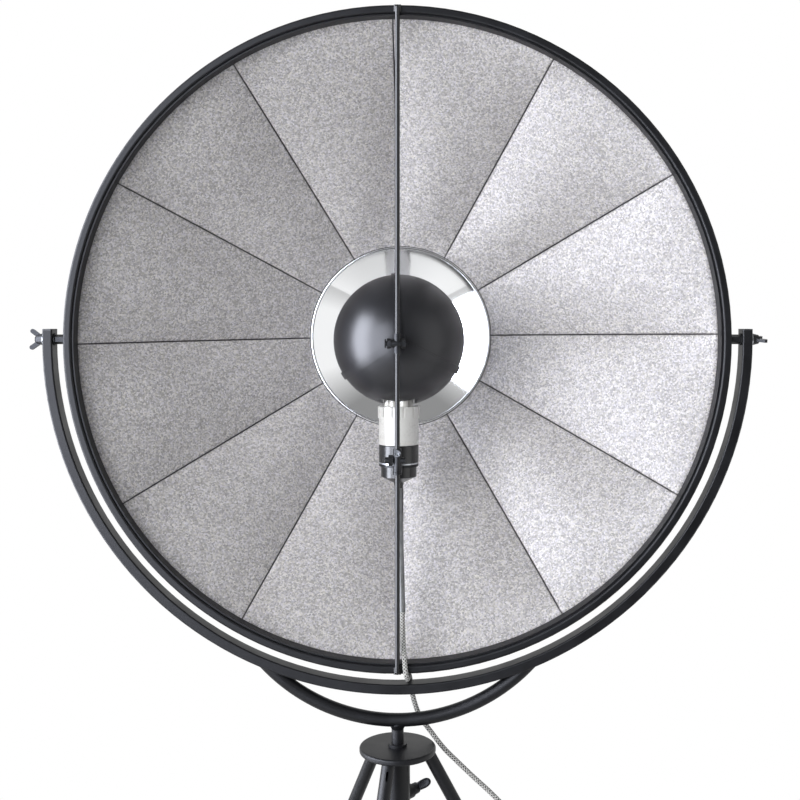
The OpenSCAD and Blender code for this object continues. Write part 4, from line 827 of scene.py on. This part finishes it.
reach = np.linspace(BOLT_R, DISH_R - BEAD_D / 2, 70)
slope = np.radians(np.interp(reach, list(SLOPES), list(SLOPES.values())))
rise = np.concatenate([[0], np.cumsum(np.diff(reach) * np.tan((slope[1:] + slope[:-1]) / 2))])
front = bead_y + rise[-1] - rise
rolled = np.radians(np.linspace(180, -100, 23))
bead = [(DISH_R + BEAD_D / 2 * math.cos(a), bead_y - BEAD_D / 2 * math.sin(a)) for a in rolled]
outline = (list(zip(reach, front)) + bead
           + list(zip(reach[::-1], front[::-1] + DISH_T / np.cos(slope[::-1]))))
spin = np.linspace(0, 2 * math.pi, 145)[:-1]
dish_grid = np.array([[(pivot.x / MM + r * math.cos(a), y, pivot.z / MM + r * math.sin(a))
                       for a in spin] for r, y in outline]) * MM
skin("spun_dish", dish_grid, chrome, body="shade", replaces=["dish"],
     ring=True)
print(f"dish {max(y for _, y in outline) - bead_y:.1f} mm deep behind its bead")

# %% [markdown]
# The bulb's housing is white PBT, a plastic that stays white in heat and is glossy from the
# mould. The tubes are glass with a white powder inside, so they look like milk under a clear
# skin. The holder's liner is brass, its core is glazed porcelain, and the contacts are nickel.

# %% Bulb and contacts
white_pbt = grained(material_of("moulded_pbt_white", "#eeeeec", 0.3, IOR=1.55),
                    grain=2, depth=0.01, tones=("#f4f4f2", "#fdfdfb"), gloss=(0.24, 0.36))
finish(white_pbt, "bulb_base")
brass = grained(material_of("rolled_brass", "#c2a35b", 0.28, Metallic=1),
                grain=1.4, depth=0.01, tones=("#b3934c", "#cbae68"), gloss=(0.22, 0.36))
finish(brass, "holder_liner")
porcelain = grained(material_of("glazed_porcelain", "#ecebe6", 0.15, IOR=1.5),
                    grain=4, depth=0.02, tones=("#e4e3dd", "#f1f0ec"), gloss=(0.1, 0.2))
finish(porcelain, "holder_core")
nickel = grained(material_of("nickel_plated_brass", "#cfcbc3", 0.2, Metallic=1),
                 grain=1.2, depth=0.01, tones=("#c0bcb3", "#d8d4cc"), gloss=(0.15, 0.28),
                 patch=7)
finish(nickel, "bulb_thread", "plug_pins")
coated_glass = grained(material_of("coated_glass", "#f0efea", 0.12, IOR=1.5, Coat_Weight=0.6,
                                   Coat_Roughness=0.03),
                       grain=6, depth=0.01, tones=("#e8e7e1", "#f4f3ef"), gloss=(0.3, 0.4))

# %% [markdown]
# Each of the three glass tubes goes up, round a tight bend and down again. The bends of such
# tubes are drawn a little narrower than the straight parts.

# %% Bulb tubes
GLASS_D = 9.5
GLASS_CIRCLE_R = 10.7
GLASS_H = 105
HOLDER_Y = 55
base_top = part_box("bulb_base")[1].z / MM + 0.1
bend_r = GLASS_CIRCLE_R * math.sin(math.radians(30))
for u in range(3):
    middle = math.radians(120 * u + 30)
    across = np.array([-math.sin(middle), math.cos(middle), 0]) * bend_r
    out = GLASS_CIRCLE_R * math.cos(math.radians(30))
    centre = np.array([out * math.cos(middle), HOLDER_Y + out * math.sin(middle), 0])
    top = base_top + GLASS_H - bend_r - GLASS_D / 2
    bend = [centre + across * math.cos(a) + np.array([0, 0, top + bend_r * math.sin(a)])
            for a in np.linspace(0, math.pi, 17)]
    up = [centre + across + np.array([0, 0, z]) for z in np.linspace(base_top, top, 24)[:-1]]
    down = [centre - across + np.array([0, 0, z]) for z in np.linspace(top, base_top, 24)[1:]]
    line = np.array(up + bend + down)
    high = np.clip((line[:, 2] - top + 4) / 8, 0, 1)
    tube_rings = rings_along(line, GLASS_D / 2 * (1 - 0.05 * high), sides=24, side=across)
    skin(f"bulb_tube_{u + 1}", tube_rings, coated_glass, body="carriage",
         replaces=["bulb_tubes"], caps=True)

# %% [markdown]
# The feet are moulded rubber, nearly matt, with dust in their pores.

# %% Rubber feet
rubber = grained(material_of("moulded_rubber", "#1b1b1c", 0.75, IOR=1.52),
                 grain=0.9, depth=0.04, tones=("#161617", "#262626"), gloss=(0.65, 0.85))
finish(rubber, "feet")

# %% [markdown]
# ## The studio
# The background of a product photograph is pure white. The world is white for the camera, and it
# lights the lamp only weakly. A mirror also sees the white room behind and beside the lamp, but
# in front of it stand the camera and a dark studio, dimmer still towards the ceiling and the
# floor. The floor is pale, keeps the lamp's shadow, and fades into the white where it ends.

# %% Floor and world
FLOOR_R = 1.9
floor_mesh = bpy.data.meshes.new("floor")
shape = bmesh.new()
bmesh.ops.create_circle(shape, cap_ends=True, segments=96, radius=FLOOR_R)
shape.to_mesh(floor_mesh)
shape.free()
floor = bpy.data.objects.new("floor", floor_mesh)
bpy.context.scene.collection.objects.link(floor)

floor_finish, tree, shader = material_of("studio_floor", "#e6e6e6", 0.9)
place = put(tree, "ShaderNodeTexCoord").outputs["Object"]
away = put(tree, "ShaderNodeVectorMath", {0: place}, operation="LENGTH").outputs["Value"]
faded = put(tree, "ShaderNodeMapRange", {"Value": away, "From Min": 0.75,
                                         "From Max": FLOOR_R - 0.1}).outputs[0]
seen = put(tree, "ShaderNodeLightPath")
shown = put(tree, "ShaderNodeMath", {0: seen.outputs["Is Camera Ray"],
                                     1: seen.outputs["Is Glossy Ray"]}, operation="MAXIMUM")
glow = put(tree, "ShaderNodeMapRange", {"Value": faded, "To Min": 0.3, "To Max": 1}).outputs[0]
strength = put(tree, "ShaderNodeMath", {0: shown.outputs[0], 1: glow}, operation="MULTIPLY")
white = put(tree, "ShaderNodeEmission", {"Strength": strength.outputs[0]})
both = put(tree, "ShaderNodeAddShader", {0: shader.outputs[0], 1: white.outputs[0]})
edge = put(tree, "ShaderNodeMixShader", {0: faded, 1: both.outputs[0], 2: white.outputs[0]})
tree.links.new(edge.outputs[0], tree.nodes["Material Output"].inputs["Surface"])
floor_mesh.materials.append(floor_finish)
print(f"floor {2 * FLOOR_R:.1f} m across")

ROOM_LIGHT = 0.345
ROOM_FRONT = 0.12
ROOM_STEEP = 0.3

world = bpy.data.worlds.new("studio")
bpy.context.scene.world = world
world.use_nodes = True
tree = world.node_tree
ray = put(tree, "ShaderNodeTexCoord").outputs["Generated"]
way = put(tree, "ShaderNodeSeparateXYZ", {0: ray})
behind = put(tree, "ShaderNodeMapRange", {"Value": way.outputs[1], "From Min": -0.2,
                                          "From Max": 0.15}, interpolation_type="SMOOTHSTEP")
sideways = put(tree, "ShaderNodeMapRange", {"Value": way.outputs[1], "From Min": -0.97,
                                            "From Max": -0.6, "To Min": ROOM_FRONT},
               interpolation_type="SMOOTHSTEP")
steep = put(tree, "ShaderNodeMath", {0: way.outputs[2]}, operation="ABSOLUTE")
dimmed = put(tree, "ShaderNodeMapRange", {"Value": steep.outputs[0], "From Min": 0.35,
                                          "From Max": 0.75, "To Min": 1,
                                          "To Max": ROOM_STEEP})
front = put(tree, "ShaderNodeMath", {0: sideways.outputs[0], 1: dimmed.outputs[0]},
            operation="MULTIPLY")
mirrored = put(tree, "ShaderNodeMix", {0: behind.outputs[0], 2: front.outputs[0], 3: 1.0})
seen = put(tree, "ShaderNodeLightPath")
plain = put(tree, "ShaderNodeMath", {0: seen.outputs["Is Camera Ray"],
                                     1: seen.outputs["Is Transmission Ray"]},
            operation="MAXIMUM")
soft = put(tree, "ShaderNodeMix", {0: seen.outputs["Is Glossy Ray"], 2: ROOM_LIGHT,
                                   3: mirrored.outputs[0]})
level = put(tree, "ShaderNodeMix", {0: plain.outputs[0], 2: soft.outputs[0], 3: 1.0})
sky = tree.nodes["Background"]
sky.inputs["Color"].default_value = (1, 1, 1, 1)
tree.links.new(level.outputs[0], sky.inputs["Strength"])
bpy.context.scene.view_settings.view_transform = "Standard"

# %% [markdown]
# A large softbox stands in front on the left and lights the right half of the bowl more than the
# left. A tall one stands beside the lamp, far out to the left: the oval that it leaves on the dome
# tells its direction. Cloth and paint need different strengths from them to look right, so the
# mirrors get their own pair, a little blue, that lights only what is glossy.


# %% Lamps
def softbox(name, direction, distance, size, level):
    """Level is the light on a sheet that faces it: at 1, white cloth renders as white."""
    lamp = bpy.data.lights.new(name, "AREA")
    lamp.shape = "RECTANGLE"
    lamp.size, lamp.size_y = size
    lamp.energy = level * math.pi**2 * distance**2
    made = bpy.data.objects.new(name, lamp)
    bpy.context.scene.collection.objects.link(made)
    towards = Vector(direction).normalized()
    made.location = pivot + towards * distance
    made.rotation_euler = towards.to_track_quat("Z", "Y").to_euler()
    print(f"{name}: {size[0]} x {size[1]} m, {lamp.energy:.0f} W")
    return made


softbox("softbox_front", (-0.68, -0.72, 0.12), 2.6, (2.0, 2.0), 0.7).visible_glossy = False
softbox("softbox_left", (-0.95, -0.31, 0.03), 1.3, (0.85, 1.7), 0.07)
for name, direction, distance, size, level in [
        ("softbox_in_mirrors", (-0.97, -0.25, 0.04), 1.31, (1.1, 1.7), 4.6),
        ("front_in_mirrors", (-0.5, -0.86, 0.02), 2.2, (1.4, 2.2), 1.3)]:
    mirrored = softbox(name, direction, distance, size, level)
    mirrored.visible_diffuse = False
    mirrored.data.color = linear("#eef2ff")[:3]
